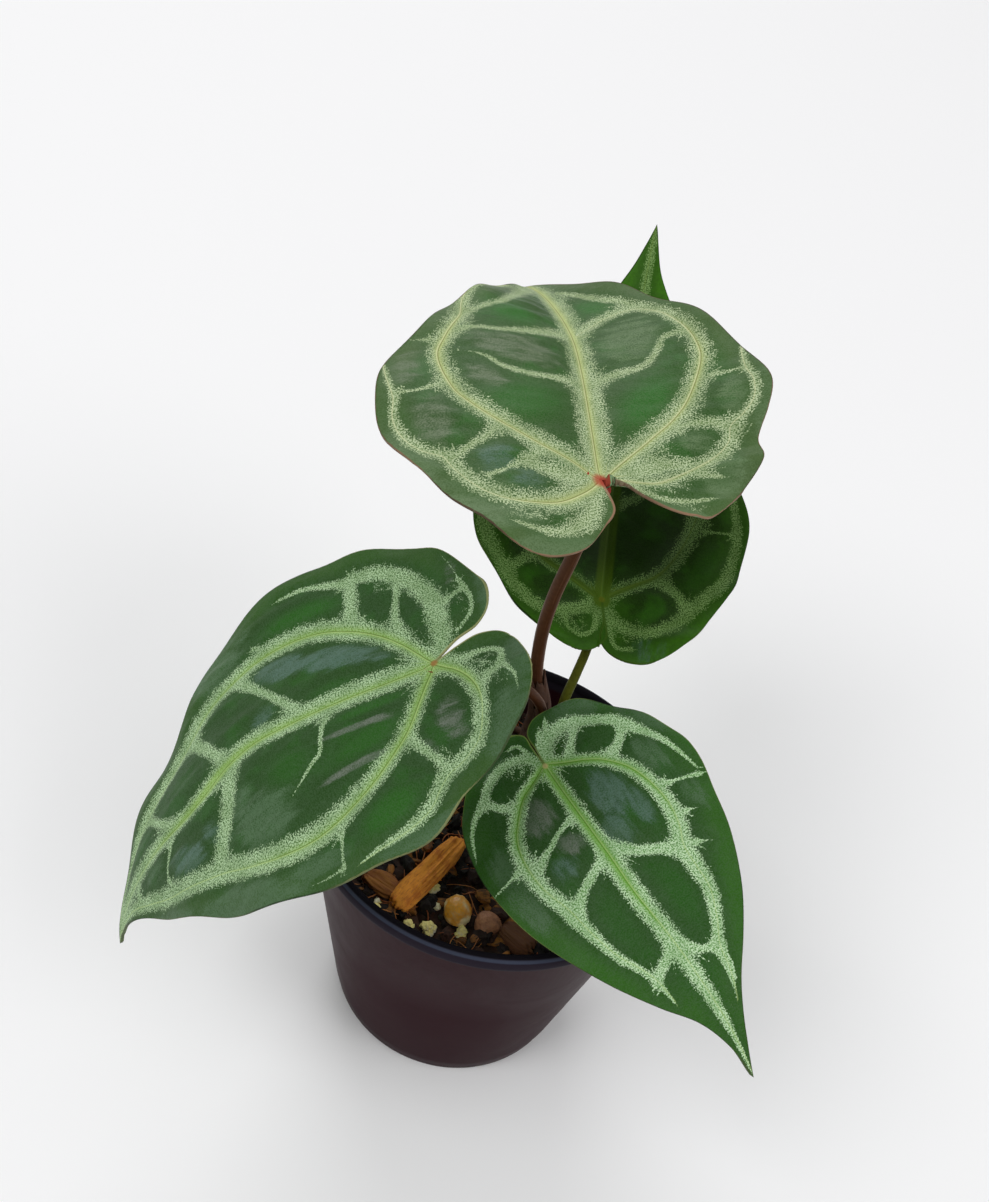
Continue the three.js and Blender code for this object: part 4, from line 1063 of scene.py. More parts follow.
def tint_fields(place, tints):
    """Strengths at each flat point of each kind of tint."""
    fields = np.zeros((len(place), len(TINT_KINDS)))
    for kind, patches in tints.items():
        column = TINT_KINDS.index(kind)
        for along, out, long, wide, turn, strength in patches:
            cos, sin = math.cos(math.radians(turn)), math.sin(math.radians(turn))
            off = place - (along, out)
            far = np.hypot((off[:, 0] * cos + off[:, 1] * sin) / long,
                           (off[:, 1] * cos - off[:, 0] * sin) / wide)
            patch = strength * np.clip(1.5 - far, 0, 1) ** 1.5
            fields[:, column] = np.maximum(fields[:, column], patch)
    return fields


def margin_gap(blade, out, along):
    """Distance of each flat point to the margin."""
    edge = np.vstack([spline(blade[key], MARGIN_POINTS) * (1, side)
                      for side, key in ((-1, "left"), (1, "right"))])
    gap = np.zeros(len(out))
    for part in batches(len(out)):
        gap[part] = np.hypot(along[part, None] - edge[None, :, 0],
                             out[part, None] - edge[None, :, 1]).min(1)
    return gap


def smoothed(mesh, values, rounds):
    """Values at the mesh's points, each averaged with its neighbours a few times."""
    edges = np.zeros(2 * len(mesh.edges), int)
    mesh.edges.foreach_get("vertices", edges)
    first, second = edges.reshape(-1, 2).T
    size = len(values)
    count = np.bincount(first, minlength=size) + np.bincount(second, minlength=size)
    for _ in range(rounds):
        total = np.bincount(first, values[second], size) + np.bincount(second, values[first], size)
        values = 0.5 * values + 0.5 * total / np.maximum(count, 1)
    return values


def get_values(data, key, size):
    values = np.zeros(size)
    data.foreach_get(key, values)
    return values


def set_attribute(mesh, name, values, kind="FLOAT", key="value"):
    layer = mesh.attributes.new(name, kind, "POINT")
    layer.data.foreach_set(key, np.asarray(values, np.float32).ravel())


def new_object(name, data):
    made = bpy.data.objects.new(name, data)
    bpy.context.scene.collection.objects.link(made)
    return made


def add_piece(name, mesh, replaced=(), smooth=True):
    """An object at the origin that rides on the part and hides the nodes it replaces."""
    piece = new_object(name, mesh)
    if smooth:
        mesh.shade_smooth()
    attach(piece, "root")
    if replaced:
        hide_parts(*replaced)
    return piece


def add_sheet(name, sheet, material, replaced=(), smooth=True):
    return add_piece(name, to_mesh(sheet, name, [material]), replaced, smooth)


def blade_relief(name, leaf, mesh, place, fields, away):
    """Height of each flat point over the plain blade: cells, furrows, waves, wrinkles, dents."""
    blade = BLADES[name]
    along, out = place.T
    column, ring = (get_values(mesh.attributes[key].data, "value", len(out))
                    for key in ("column", "ring"))
    side = np.where(out > 0, 1, -1)
    cells = 1 - np.exp(-np.maximum(fields["vein_gap"] + QUILT_START, 0) / QUILT_SOFTNESS)
    cells = smoothed(mesh, cells, QUILT_ROUNDS)
    deep = np.clip(fields["core_half"] / 0.5, 0.2, 1) * np.minimum(1, fields["joint_gap"] / 3)
    furrow = np.exp(-(away / FURROW_REACH) ** 2) * deep
    ripple = ring**3 * np.sin(RIPPLE_PACE * column + 2 * side)
    calm = np.minimum(1, 3 * (1 - np.clip(along, 0, None) / blade["length"]))
    rim = np.minimum(1, fields["edge_gap"] / RIM_STRIP)
    relief = (leaf.puff / MM * (cells - 0.5) * rim + leaf.ripple / MM * ripple) * calm
    relief -= leaf.furrow / MM * furrow
    ahead, across, height = PLEATS[name]
    wrinkle = height * np.array([
        noise.fractal(Vector((ahead * x, across * y, blade["length"])), 1.0, 2.0, 2)
        for x, y in place])
    relief += leaf.pucker / MM * wrinkle * cells * calm * rim
    for seat, reach, depth in DIMPLES.get(name, ()):
        far = np.linalg.norm((place - seat) / reach, axis=1)
        lit = np.clip(0.4 + (place[:, 0] - seat[0]) / reach[0], 0, 1)
        relief -= depth * np.exp(-((far - 1) / DENT_EDGE) ** 2) * lit
    return relief


def add_wall(piece, leaf, swell):
    """Thickens a blade downwards, more where its ribs swell."""
    depth = leaf.rib_depth + leaf.thickness
    thin = leaf.thickness / depth
    group = piece.vertex_groups.new(name="rib")
    for index, weight in enumerate(np.clip(thin + (1 - thin) * swell, thin, 1)):
        group.add([index], float(weight), "REPLACE")
    wall = piece.modifiers.new("wall", "SOLIDIFY")
    wall.thickness = depth
    wall.offset = -1.0
    wall.vertex_group = "rib"
    wall.thickness_vertex_group = 0.0
    wall.material_offset = 1
    wall.material_offset_rim = 0


def make_leaf(name, leaf, materials):
    """One blade: a dense sheet with quilted cells and sunken veins, thicker along its ribs."""
    blade = BLADES[name]
    sheet = flat_blade(blade, *BLADE_GRID)
    mesh = to_mesh(sheet, f"blade_{name}", materials)
    flat = get_values(mesh.vertices, "co", 3 * len(mesh.vertices))
    out, along = flat.reshape(-1, 3)[:, 0], flat.reshape(-1, 3)[:, 1]
    place = np.stack([along, out], 1)
    fields = vein_fields(place, VEINS[name])
    fields["edge_gap"] = margin_gap(blade, out, along)
    fields["joint_gap"] = np.hypot(out, along)
    away = np.abs(fields["core_gap"] + fields["core_half"])
    relief = blade_relief(name, leaf, mesh, place, fields, away)
    mesh.vertices.foreach_set("co", lift_blade(blade, along, out, relief).ravel())

    tints = tint_fields(place, TINTS[name])
    fields["mist"] = tints[:, 4]
    for label, values in fields.items():
        set_attribute(mesh, label, values)
    set_attribute(mesh, "tints", tints[:, :4], "FLOAT_COLOR", "color")
    set_attribute(mesh, "flat_place", flat, "FLOAT_VECTOR", "vector")
    corner = np.zeros(len(mesh.loops), int)
    mesh.loops.foreach_get("vertex_index", corner)
    flat_uv = np.stack([out, along], 1) * PLAN_SCALE + PLAN_MIDDLE
    mesh.uv_layers.new(name="plan").data.foreach_set("uv", flat_uv[corner].ravel())

    piece = add_piece(f"blade_{name}", mesh, [f"leaf_blade_{name}"])
    taper = 1 - np.clip(along, 0, None) / blade["length"]
    swell = np.exp(-(away / RIB_REACH) ** 2) * (0.25 + 0.75 * taper)
    swell *= np.where(abs(out) < MIDRIB_HALF, 1, 0.5)
    add_wall(piece, leaf, swell)
    return piece


# Grids wrapped round a route or an axis

MERGE = 1e-6


def new_sheet(*names):
    """An empty mesh with a layer for each name; home holds a place, the others a single value."""
    sheet = bmesh.new()
    kinds = sheet.verts.layers
    return sheet, [kinds.float_vector.new(name) if name == "home" else kinds.float.new(name)
                   for name in names]


def wrapped_grid(sheet, rows, sides, layers, place):
    """A tube or shell from a grid: place gives a row and side's spot and its layers' values."""
    made = bmesh.ops.create_grid(sheet, x_segments=rows, y_segments=sides, size=1.0)
    for vert in made["verts"]:
        row = round((vert.co.x + 1) / 2 * rows)
        side = round((vert.co.y + 1) / 2 * sides)
        vert.co, *values = place(row, side % sides)
        for layer, value in zip(layers, values):
            vert[layer] = value


def close_grid(sheet):
    bmesh.ops.remove_doubles(sheet, verts=sheet.verts, dist=MERGE)
    bmesh.ops.dissolve_degenerate(sheet, dist=MERGE, edges=sheet.edges)
    rims = [edge for edge in sheet.edges if edge.is_boundary]
    if rims:
        bmesh.ops.holes_fill(sheet, edges=rims, sides=0)
    bmesh.ops.recalc_face_normals(sheet, faces=sheet.faces)


def to_mesh(sheet, name, materials):
    mesh = bpy.data.meshes.new(name)
    sheet.to_mesh(mesh)
    sheet.free()
    for material in materials:
        mesh.materials.append(material)
    return mesh


def around(points):
    """A function for the way out of a path at a row and a turn about it, without a twist."""
    ahead = np.gradient(points, axis=0)
    ahead /= np.linalg.norm(ahead, axis=1)[:, None]
    side = np.cross(ahead[0], (0.3, 1.0, 0.2))
    sides = []
    for direction in ahead:
        side = side - direction * np.dot(side, direction)
        side /= np.linalg.norm(side)
        sides.append(side)
    first = np.array(sides)
    second = np.cross(ahead, first)

    def way_out(row, turn):
        return math.cos(turn) * first[row] + math.sin(turn) * second[row]

    return way_out


def make_stalk(name, stalk, material):
    """One stalk: a ribbed tube that swells into a knee and spreads under its blade."""
    rows, sides = 110, 22
    data, joint = STALKS[name], np.array(BLADES[name]["joint"])
    up = blade_axes(BLADES[name], np.array([0.0]))[2][0]
    route = [*data["route"], *(tuple(joint - up * below) for below in STALK_ENDS)]
    points = spline(route, rows + 1)
    way_out = around(points)
    run = np.linalg.norm(np.diff(points, axis=0), axis=1).sum()
    low, high = data["radius"]
    knee = stalk.knee / MM
    sheet, layers = new_sheet("home", "blush", "head")

    def place(row, side):
        t = row / rows
        left = (1 - t) * run
        radius = low + (high - low) * t
        swell = math.exp(-((left - KNEE_MIDDLE * knee) / (KNEE_HALF * knee)) ** 2)
        radius *= 1 + stalk.knee_swell * swell
        radius *= 1 + stalk.head_flare * math.exp(-left / FLARE_REACH)
        turn = 2 * math.pi * side / sides
        flute = 1 + 0.035 * math.cos(3 * turn) + 0.02 * noise.noise(
            Vector((0.35 * t * run, 3 * math.cos(turn), 3 * math.sin(turn))))
        across = way_out(row, turn)
        spot = (points[row] + across * radius * flute) * MM
        # How far this spot faces the lamps, stored as blush for the painted lit side.
        lit = max(0.0, -0.55 * across[0] + 0.6 * across[2] - 0.5 * across[1])
        home = Vector((math.cos(turn), math.sin(turn), t * run))
        return Vector(spot), home, lit, math.exp(-left / HEAD_REACH)

    wrapped_grid(sheet, rows, sides, layers, place)
    close_grid(sheet)
    return add_sheet(f"stalk_{name}", sheet, material, [f"petiole_{name}"])


CROWN_AT = (9.0, 19.0)
CROWN_FOOT = 56.0
CROWN_TOP = 88.0
CROWN_RADIUS = 6.0
SCAR_PITCH = 5.0
ROOT_COUNT = 5


def add_stem(sheet, layers):
    """The stem itself, ringed with leaf scars and rounded at its top."""
    rows, sides = 120, 48

    def stem(row, side):
        t = row / rows
        z = CROWN_FOOT + (CROWN_TOP - CROWN_FOOT) * min(1.0, t / 0.9)
        radius = CROWN_RADIUS + 0.5 * abs(math.sin(math.pi * (z - CROWN_FOOT) / SCAR_PITCH)) ** 0.5
        if t > 0.9:
            radius *= math.cos((t - 0.9) / 0.1 * math.pi / 2)
            z += 1.0 * (t - 0.9) / 0.1
        turn = 2 * math.pi * side / sides
        spot = Vector((math.cos(turn), math.sin(turn), 0.0))
        rough = 0.5 * noise.fractal(Vector((3 * spot.x, 3 * spot.y, z * 0.8)), 0.9, 2.0, 4)
        radius = max(0.0, radius + rough * min(1.0, radius / 3))
        place = (Vector((*CROWN_AT, z)) + spot * radius) * MM
        return place, Vector((spot.x * 6, spot.y * 6, z)), 0.4 + 0.3 * rough

    wrapped_grid(sheet, rows, sides, layers, stem)


def add_sheath(sheet, layers, number, stalk):
    """The torn papery sheath round the foot of a stalk: up its outside and down its inside."""
    rows, sides = 22, 30
    points = spline(stalk["route"], 60)
    way_out = around(points[:rows])

    def sheath(row, side):
        inner = row > rows - 1
        seat = min(row if not inner else 2 * rows - 1 - row, rows - 1)
        t = seat / (rows - 1)
        turn = 2 * math.pi * side / sides
        torn = 1.0 - 0.45 * max(0.0, noise.noise(
            Vector((2.2 * math.cos(turn), 2.2 * math.sin(turn), 7.1 * number))) + 0.25)
        seat_at = int(seat * torn)
        wall = (2.1 - 1.5 * t) * (1 + 0.12 * noise.noise(Vector((turn * 2, t * 4, number))))
        radius = stalk["radius"][0] + (0.25 if inner else max(0.45, wall))
        spot = Vector((points[seat_at] + way_out(seat_at, turn) * radius) * MM)
        return spot, Vector((turn * 3, number * 9, t * 20)), 0.55 + 0.4 * t

    wrapped_grid(sheet, 2 * rows - 1, sides, layers, sheath)


def add_root(sheet, layers, number, draw):
    """A stub of a root that bends down from the stem into the mix."""
    rows, sides = 18, 12
    turn = 2 * math.pi * (number + 0.3 * draw.random()) / ROOT_COUNT + 0.7
    reach = 9 + 5 * draw.random()
    way = np.array([math.cos(turn), math.sin(turn), 0.0])
    start = np.array([*CROWN_AT, 74 + 5 * draw.random()]) + way * 4
    route = [tuple(start), tuple(start + way * reach * 0.45 + (0, 0, 0.5)),
             tuple(start + way * reach + (0, 0, -8))]
    points = spline(route, rows + 1)
    way_out = around(points)

    def root(row, side):
        turn = 2 * math.pi * side / sides
        radius = 1.05 * (1 - 0.25 * row / rows) * (1 + 0.1 * noise.noise(
            Vector((row * 0.7, turn, number))))
        spot = Vector((points[row] + way_out(row, turn) * radius) * MM)
        return spot, Vector((turn, number * 5, row * 0.8)), 0.9

    wrapped_grid(sheet, rows, sides, layers, root)


def make_crown(material):
    """The short stem: ringed with leaf scars, with torn papery sheaths and a few root stubs."""
    sheet, layers = new_sheet("home", "tint")
    add_stem(sheet, layers)
    for number, stalk in enumerate(STALKS.values()):
        add_sheath(sheet, layers, number, stalk)
    draw = Random(SEEDS["crown"])
    for number in range(ROOT_COUNT):
        add_root(sheet, layers, number, draw)
    close_grid(sheet)
    return add_sheet("crown", sheet, material, ["crown_stem"])


# Pot

LIP_DEPTH = 4.5
LIP_STEP = 1.4
LIP_WIDTH = 2.8
HOLE_COUNT = 8
HOLE_RADIUS = 3.5
HOLE_CIRCLE = 25.0
POT_FLOOR = 2.0
POT_SIDES = 144
HOLE_SIDES = 32
SHARP_ANGLE = 50


def wall_radius(pot, z):
    shoulder = pot.height / MM - LIP_DEPTH
    base = pot.base_radius / MM
    return base + (pot.rim_radius / MM - LIP_STEP - base) * z / shoulder


def make_pot(pot, material):
    """The moulded pot: rolled lip, thin tapered wall, rounded foot and round drain holes."""
    top, rim, base = pot.height / MM, pot.rim_radius / MM, pot.base_radius / MM
    wall, shoulder = pot.wall / MM, pot.height / MM - LIP_DEPTH
    profile = [
        (0, 0), (HOLE_CIRCLE - HOLE_RADIUS - 2, 0), (HOLE_CIRCLE + HOLE_RADIUS + 1, 0),
        (base - 1.5, 0), (base - 0.6, 0.25), (base - 0.1, 0.9),
        (wall_radius(pot, 6), 6), (wall_radius(pot, 40), 40),
        (wall_radius(pot, shoulder - 0.5), shoulder - 0.5),
        (rim - LIP_STEP + 0.3, shoulder), (rim - 0.6, shoulder + 0.25), (rim - 0.1, shoulder + 0.8),
        (rim, shoulder + 1.6), (rim, top - 1.1), (rim - 0.25, top - 0.35), (rim - 0.8, top),
        (rim - LIP_WIDTH + 0.9, top), (rim - LIP_WIDTH + 0.25, top - 0.35),
        (rim - LIP_WIDTH, top - 1.0), (wall_radius(pot, shoulder - 1) - wall, shoulder - 1),
        (wall_radius(pot, 40) - wall, 40), (wall_radius(pot, POT_FLOOR + 1) - wall, POT_FLOOR + 1),
        (wall_radius(pot, POT_FLOOR) - wall - 1, POT_FLOOR),
        (HOLE_CIRCLE + HOLE_RADIUS + 1, POT_FLOOR), (HOLE_CIRCLE - HOLE_RADIUS - 2, POT_FLOOR),
        (0, POT_FLOOR),
    ]
    sheet = bmesh.new()
    verts = [sheet.verts.new((r * MM, 0, z * MM)) for r, z in profile]
    edges = [sheet.edges.new(pair) for pair in zip(verts, verts[1:])]
    bmesh.ops.spin(sheet, geom=verts + edges, cent=(0, 0, 0), axis=(0, 0, 1),
                   angle=2 * math.pi, steps=POT_SIDES, use_merge=True, use_duplicate=False)
    bmesh.ops.remove_doubles(sheet, verts=sheet.verts, dist=MERGE)
    bmesh.ops.recalc_face_normals(sheet, faces=sheet.faces)
    piece = add_sheet("pot_moulded", sheet, material, ["pot"])
    drill_holes(piece)
    return piece


def drill_holes(piece):
    """Cuts the round drain holes through the pot's floor."""
    drills = bmesh.new()
    for k in range(HOLE_COUNT):
        turn = 2 * math.pi * k / HOLE_COUNT
        at = (HOLE_CIRCLE * math.cos(turn) * MM, HOLE_CIRCLE * math.sin(turn) * MM, 0)
        bmesh.ops.create_cone(drills, cap_ends=True, segments=HOLE_SIDES, radius1=HOLE_RADIUS * MM,
                              radius2=HOLE_RADIUS * MM, depth=3 * POT_FLOOR * MM,
                              matrix=Matrix.Translation(at))
    cutter = new_object("drills", to_mesh(drills, "drills", []))
    cut = piece.modifiers.new("drain_holes", "BOOLEAN")
    cut.operation, cut.object, cut.solver = "DIFFERENCE", cutter, "EXACT"
    shape = piece.evaluated_get(bpy.context.evaluated_depsgraph_get())
    piece.data = bpy.data.meshes.new_from_object(shape)
    piece.data.name = piece.name
    piece.data.set_sharp_from_angle(angle=math.radians(SHARP_ANGLE))
    piece.modifiers.remove(cut)
    bpy.data.objects.remove(cutter)


# Potting mix

MIX_FLAT_SHARE = 0.6
MIX_GAP = 0.3
CHIP_SINK = 0.35
LONG_CHIP = 10


def mix_radius(pot, mix):
    return wall_radius(pot, (mix.level - mix.edge_drop) / MM) - pot.wall / MM - MIX_GAP


def mix_level(pot, mix, distance):
    edge = mix_radius(pot, mix)
    flat = MIX_FLAT_SHARE * edge
    return mix.level / MM - mix.edge_drop / MM * max(0.0, distance - flat) / (edge - flat)


def surface_bump(x, y):
    """Lumps and hollows of the mix's surface, in millimetres."""
    coarse = noise.noise(Vector((x * 0.16, y * 0.16, 3.0)))
    lumps = noise.voronoi(Vector((x * 0.32, y * 0.32, 0.5)))[0][0]
    fine = noise.fractal(Vector((x * 0.9, y * 0.9, 1.7)), 0.8, 2.1, 4)
    return 1.1 * coarse + 1.6 * (0.45 - lumps) + 0.35 * fine


def make_mix_body(pot, mix, material):
    """The root ball: lumpy on top, tapering with the pot below."""
    edge = mix_radius(pot, mix)
    bottom = POT_FLOOR + MIX_GAP
    foot = wall_radius(pot, POT_FLOOR) - pot.wall / MM - MIX_GAP
    rows, side_rows, sides = 110, 12, 240
    sheet, layers = new_sheet("tint")

    def place(row, side):
        turn = 2 * math.pi * side / sides
        if row <= rows:
            reach = edge * row / rows
            x, y = reach * math.cos(turn), reach * math.sin(turn)
            z = mix_level(pot, mix, reach) + surface_bump(x, y) * min(1.0, (edge - reach) / 2)
        elif row <= rows + side_rows:
            part = (row - rows) / side_rows
            reach = edge + (foot - edge) * part
            x, y = reach * math.cos(turn), reach * math.sin(turn)
            z = (mix.level - mix.edge_drop) / MM * (1 - part) + bottom * part
        else:
            x, y, z = 0.0, 0.0, bottom
        return Vector((x, y, z)) * MM, noise.noise(Vector((x, y, z)) * 0.5) * 0.5 + 0.5

    wrapped_grid(sheet, rows + side_rows + 1, sides, layers, place)
    close_grid(sheet)
    return add_sheet("mix_body", sheet, material, ["potting_mix"])


def scatter_spot(draw, pot, mix, inset):
    """A random spot on the mix, clear of the crown."""
    while True:
        reach = (mix_radius(pot, mix) - inset) * math.sqrt(draw.random())
        turn = 2 * math.pi * draw.random()
        x, y = reach * math.cos(turn), reach * math.sin(turn)
        if math.hypot(x - CROWN_AT[0], y - CROWN_AT[1]) > CROWN_RADIUS + 1.5:
            return x, y, mix_level(pot, mix, reach) + surface_bump(x, y)


def loose_place(draw, pot, mix, inset, lift, tilt):
    """A random place on the mix for a loose bit, a little raised, turned and tilted."""
    x, y, z = scatter_spot(draw, pot, mix, inset)
    spin = Matrix.Rotation(2 * math.pi * draw.random(), 4, "Z")
    lean = Matrix.Rotation(math.radians(tilt) * (2 * draw.random() - 1), 4, "X")
    return Matrix.Translation((x, y, z + lift)) @ (spin @ lean)


def add_lump(sheet, layers, place, half, detail, roughness, seed, tone):
    """One rough lump: an icosphere pushed in and out, with its own tone."""
    home, tint = layers
    for vert in bmesh.ops.create_icosphere(sheet, subdivisions=detail, radius=1.0)["verts"]:
        at = vert.co.copy()
        push = 1 + roughness * noise.noise(at * 1.6 + Vector((seed, 0, 0)))
        push += 0.5 * roughness * noise.noise(at * 4.1 + Vector((0, seed, 0)))
        shaped = Vector((at.x * half[0], at.y * half[1], at.z * half[2])) * push
        vert[home], vert[tint] = shaped, tone
        vert.co = (place @ shaped) * MM


def make_crumbs(pot, mix, material):
    """Hundreds of dark crumbs of peat and bark dust."""
    draw = Random(SEEDS["crumbs"])
    sheet, layers = new_sheet("home", "tint")
    for number in range(mix.crumbs):
        size = 0.7 + 2.0 * draw.random() ** 2.2
        place = loose_place(draw, pot, mix, size + 0.8, 0.15 * size, 40)
        half = (size, size * (0.6 + 0.5 * draw.random()), size * (0.5 + 0.4 * draw.random()))
        add_lump(sheet, layers, place, half, 1 if size < 1.4 else 2, 0.6, 3.7 * number,
                 draw.random() ** 2)
    return add_sheet("mix_crumbs", sheet, material, smooth=False)


def make_grains(pot, mix, material):
    """Small perlite grains among the crumbs."""
    draw = Random(SEEDS["grains"])
    sheet, layers = new_sheet("home", "tint")
    for number in range(mix.grains):
        size = 0.45 + 0.8 * draw.random()
        place = loose_place(draw, pot, mix, size + 0.8, 0.5 * size, 60)
        half = (size, size * (0.75 + 0.3 * draw.random()), size * (0.7 + 0.3 * draw.random()))
        add_lump(sheet, layers, place, half, 2, 0.5, 5.3 * number, draw.random())
    return add_sheet("perlite_crumbs", sheet, material, smooth=False)


def add_splinter(sheet, layers, place, half, detail, seed, tone, torn=1.0):
    """One bark chip: a rounded block drawn out along its grain, split and torn at its ends."""
    home, tint = layers
    shift = Vector((seed, seed * 0.37, 0))
    for vert in bmesh.ops.create_icosphere(sheet, subdivisions=detail, radius=1.0)["verts"]:
        block = sum(abs(value) ** 5 for value in vert.co) ** 0.2
        x, y, z = vert.co / block
        taper = 1 - 0.38 * torn * abs(y) ** 2.5 - 0.1 * y
        ragged = 0.22 * torn * noise.noise(Vector((x * 3.2, 0.0, z * 3.2)) + shift)
        layer = 0.16 * noise.noise(Vector((x * 1.7, y * 0.7, z * 4.5)) + shift)
        split = 0.12 * noise.noise(Vector((x * 6.0, y * 0.9, z * 6.0)) + shift)
        shaped = Vector((
            x * half[0] * (taper + layer + split),
            y * half[1] * (1 + ragged * abs(y)),
            z * half[2] * (0.6 + 0.4 * taper + layer + split),
        ))
        shaped.z += 0.06 * half[1] * noise.noise(Vector((0, y * 1.1, 0)) + shift)
        vert[home], vert[tint] = shaped, tone
        vert.co = (place @ shaped) * MM


def make_splinters(pot, mix, material):
    """Small bits of bark between the larger chips."""
    draw = Random(SEEDS["splinters"])
    sheet, layers = new_sheet("home", "tint")
    for number in range(mix.splinters):
        long = 1.6 + 3.4 * draw.random() ** 1.6
        place = loose_place(draw, pot, mix, long + 1, 0.35, 24)
        half = (long * (0.28 + 0.25 * draw.random()), long, 0.5 + 0.7 * draw.random())
        add_splinter(sheet, layers, place, half, 2, 2.9 * number, draw.random())
    bmesh.ops.recalc_face_normals(sheet, faces=sheet.faces)
    return add_sheet("bark_bits", sheet, material, smooth=False)


def make_fibres(pot, mix, material):
    """Bent coir fibres lying over the mix."""
    rows, sides, bends = 10, 4, 4
    draw = Random(SEEDS["fibres"])
    sheet, layers = new_sheet("tint")
    for _ in range(mix.fibres):
        reach = 3 + 8 * draw.random()
        x, y, _ = scatter_spot(draw, pot, mix, 3)
        turn = 2 * math.pi * draw.random()
        bend = 1.6 * (draw.random() - 0.5)
        route = []
        for _ in range(bends + 1):
            route.append((x, y))
            x += reach / bends * math.cos(turn)
            y += reach / bends * math.sin(turn)
            turn += bend * 0.5 + 0.5 * (draw.random() - 0.5)
        if max(math.hypot(*spot) for spot in route) > mix_radius(pot, mix) - 1.2:
            continue
        height = 0.3 + 1.0 * draw.random()
        arch = 1.3 * draw.random()
        path = []
        for k, (x, y) in enumerate(route):
            base = mix_level(pot, mix, math.hypot(x, y)) + surface_bump(x, y)
            path.append((x, y, base + height + arch * math.sin(math.pi * k / bends)))
        points = spline(path, rows + 1)
        way_out = around(points)
        radius = 0.09 + 0.1 * draw.random()
        tone = draw.random()

        def place(row, side):
            slim = 1 - 0.6 * abs(2 * row / rows - 1) ** 3
            across = way_out(row, 2 * math.pi * side / sides)
            return Vector((points[row] + across * radius * slim) * MM), tone

        wrapped_grid(sheet, rows, sides, layers, place)
    close_grid(sheet)
    return add_sheet("coir_fibres", sheet, material)


# Larger loose pieces: the place, the half size, the turns about X, Y and Z, the slot and the tone.
CHIPS = {
    "bark_chip_long": ((-12.5, -21), (3.3, 13, 3.2), (6, 4, -27), "bark", 0),
    "bark_chip_left": ((-23.5, -26.5), (2.8, 5, 2.4), (5, -6, 70), "bark", 1.5),
    "bark_chip_front": ((12.5, -33), (3, 5, 2.4), (-6, 8, 55), "bark", 1.9),
    "bark_chip_back": ((-9, 33), (4, 8, 2.6), (4, 6, 20), "bark", 0.6),
    "bark_chip_right": ((34, 6), (3.6, 8, 2.6), (-4, 5, -15), "bark", 0.6),
    "bark_chip_west": ((-36, 2), (3.4, 6.5, 2.4), (3, -4, 35), "bark", 0.6),
    "pebble_ochre": ((-3.3, -29.4), (3.5, 4.3, 3.2), (0, 8, 15), "pebble_ochre", 0.5),
    "pebble_brown": ((4.8, -31), (3.4, 3.3, 2.8), (10, 0, 40), "pebble_brown", 0.5),
    "pebble_back": ((17, 36), (3.8, 3.2, 2.8), (0, 8, 10), "pebble_brown", 0.5),
    "perlite_left": ((-22.6, -33), (1.9, 1.9, 1.7), (0, 0, 20), "perlite", 0.5),
    "perlite_pair_a": ((-13.8, -36.3), (2.1, 1.8, 1.7), (12, 0, 35), "perlite", 0.5),
    "perlite_pair_b": ((-9.2, -35.4), (1.9, 1.7, 1.6), (0, 14, 70), "perlite", 0.5),
    "perlite_middle": ((-11.2, -24.4), (2, 2.1, 1.7), (0, 6, 50), "perlite", 0.5),
    "perlite_front": ((-0.9, -34.6), (1.7, 1.6, 1.5), (8, 6, 0), "perlite", 0.5),
    "perlite_back": ((-27, 24), (2.2, 2.1, 1.9), (0, 6, 50), "perlite", 0.5),
}


def make_chip(name, pot, mix, material, number):
    """One of the larger loose pieces, in place of its node."""
    (x, y), half, turn, slot, tone = CHIPS[name]
    z = mix_level(pot, mix, math.hypot(x, y)) + CHIP_SINK * half[2]
    spin = (Matrix.Rotation(math.radians(turn[2]), 4, "Z")
            @ Matrix.Rotation(math.radians(turn[1]), 4, "Y")
            @ Matrix.Rotation(math.radians(turn[0]), 4, "X"))
    place = Matrix.Translation((x, y, z)) @ spin
    sheet, layers = new_sheet("home", "tint")
    if slot == "bark":
        torn = 0.4 if half[1] > LONG_CHIP else 1.0
        add_splinter(sheet, layers, place, half, 5, 4.3 * number + 1, tone, torn)
        bmesh.ops.recalc_face_normals(sheet, faces=sheet.faces)
    elif slot == "perlite":
        draw = Random(number)
        for part in range(4):
            off = Vector([0.55 * half[axis] * (2 * draw.random() - 1) for axis in range(3)])
            size = 0.5 + 0.25 * draw.random()
            add_lump(sheet, layers, place @ Matrix.Translation(off),
                     [size * value for value in half], 4, 0.4, 2.3 * number + part,
                     draw.random())
    else:
        add_lump(sheet, layers, place, half, 5, 0.1, 2.3 * number, 0.5)
    return add_sheet(f"loose_{name}", sheet, material, [name])


# Operators

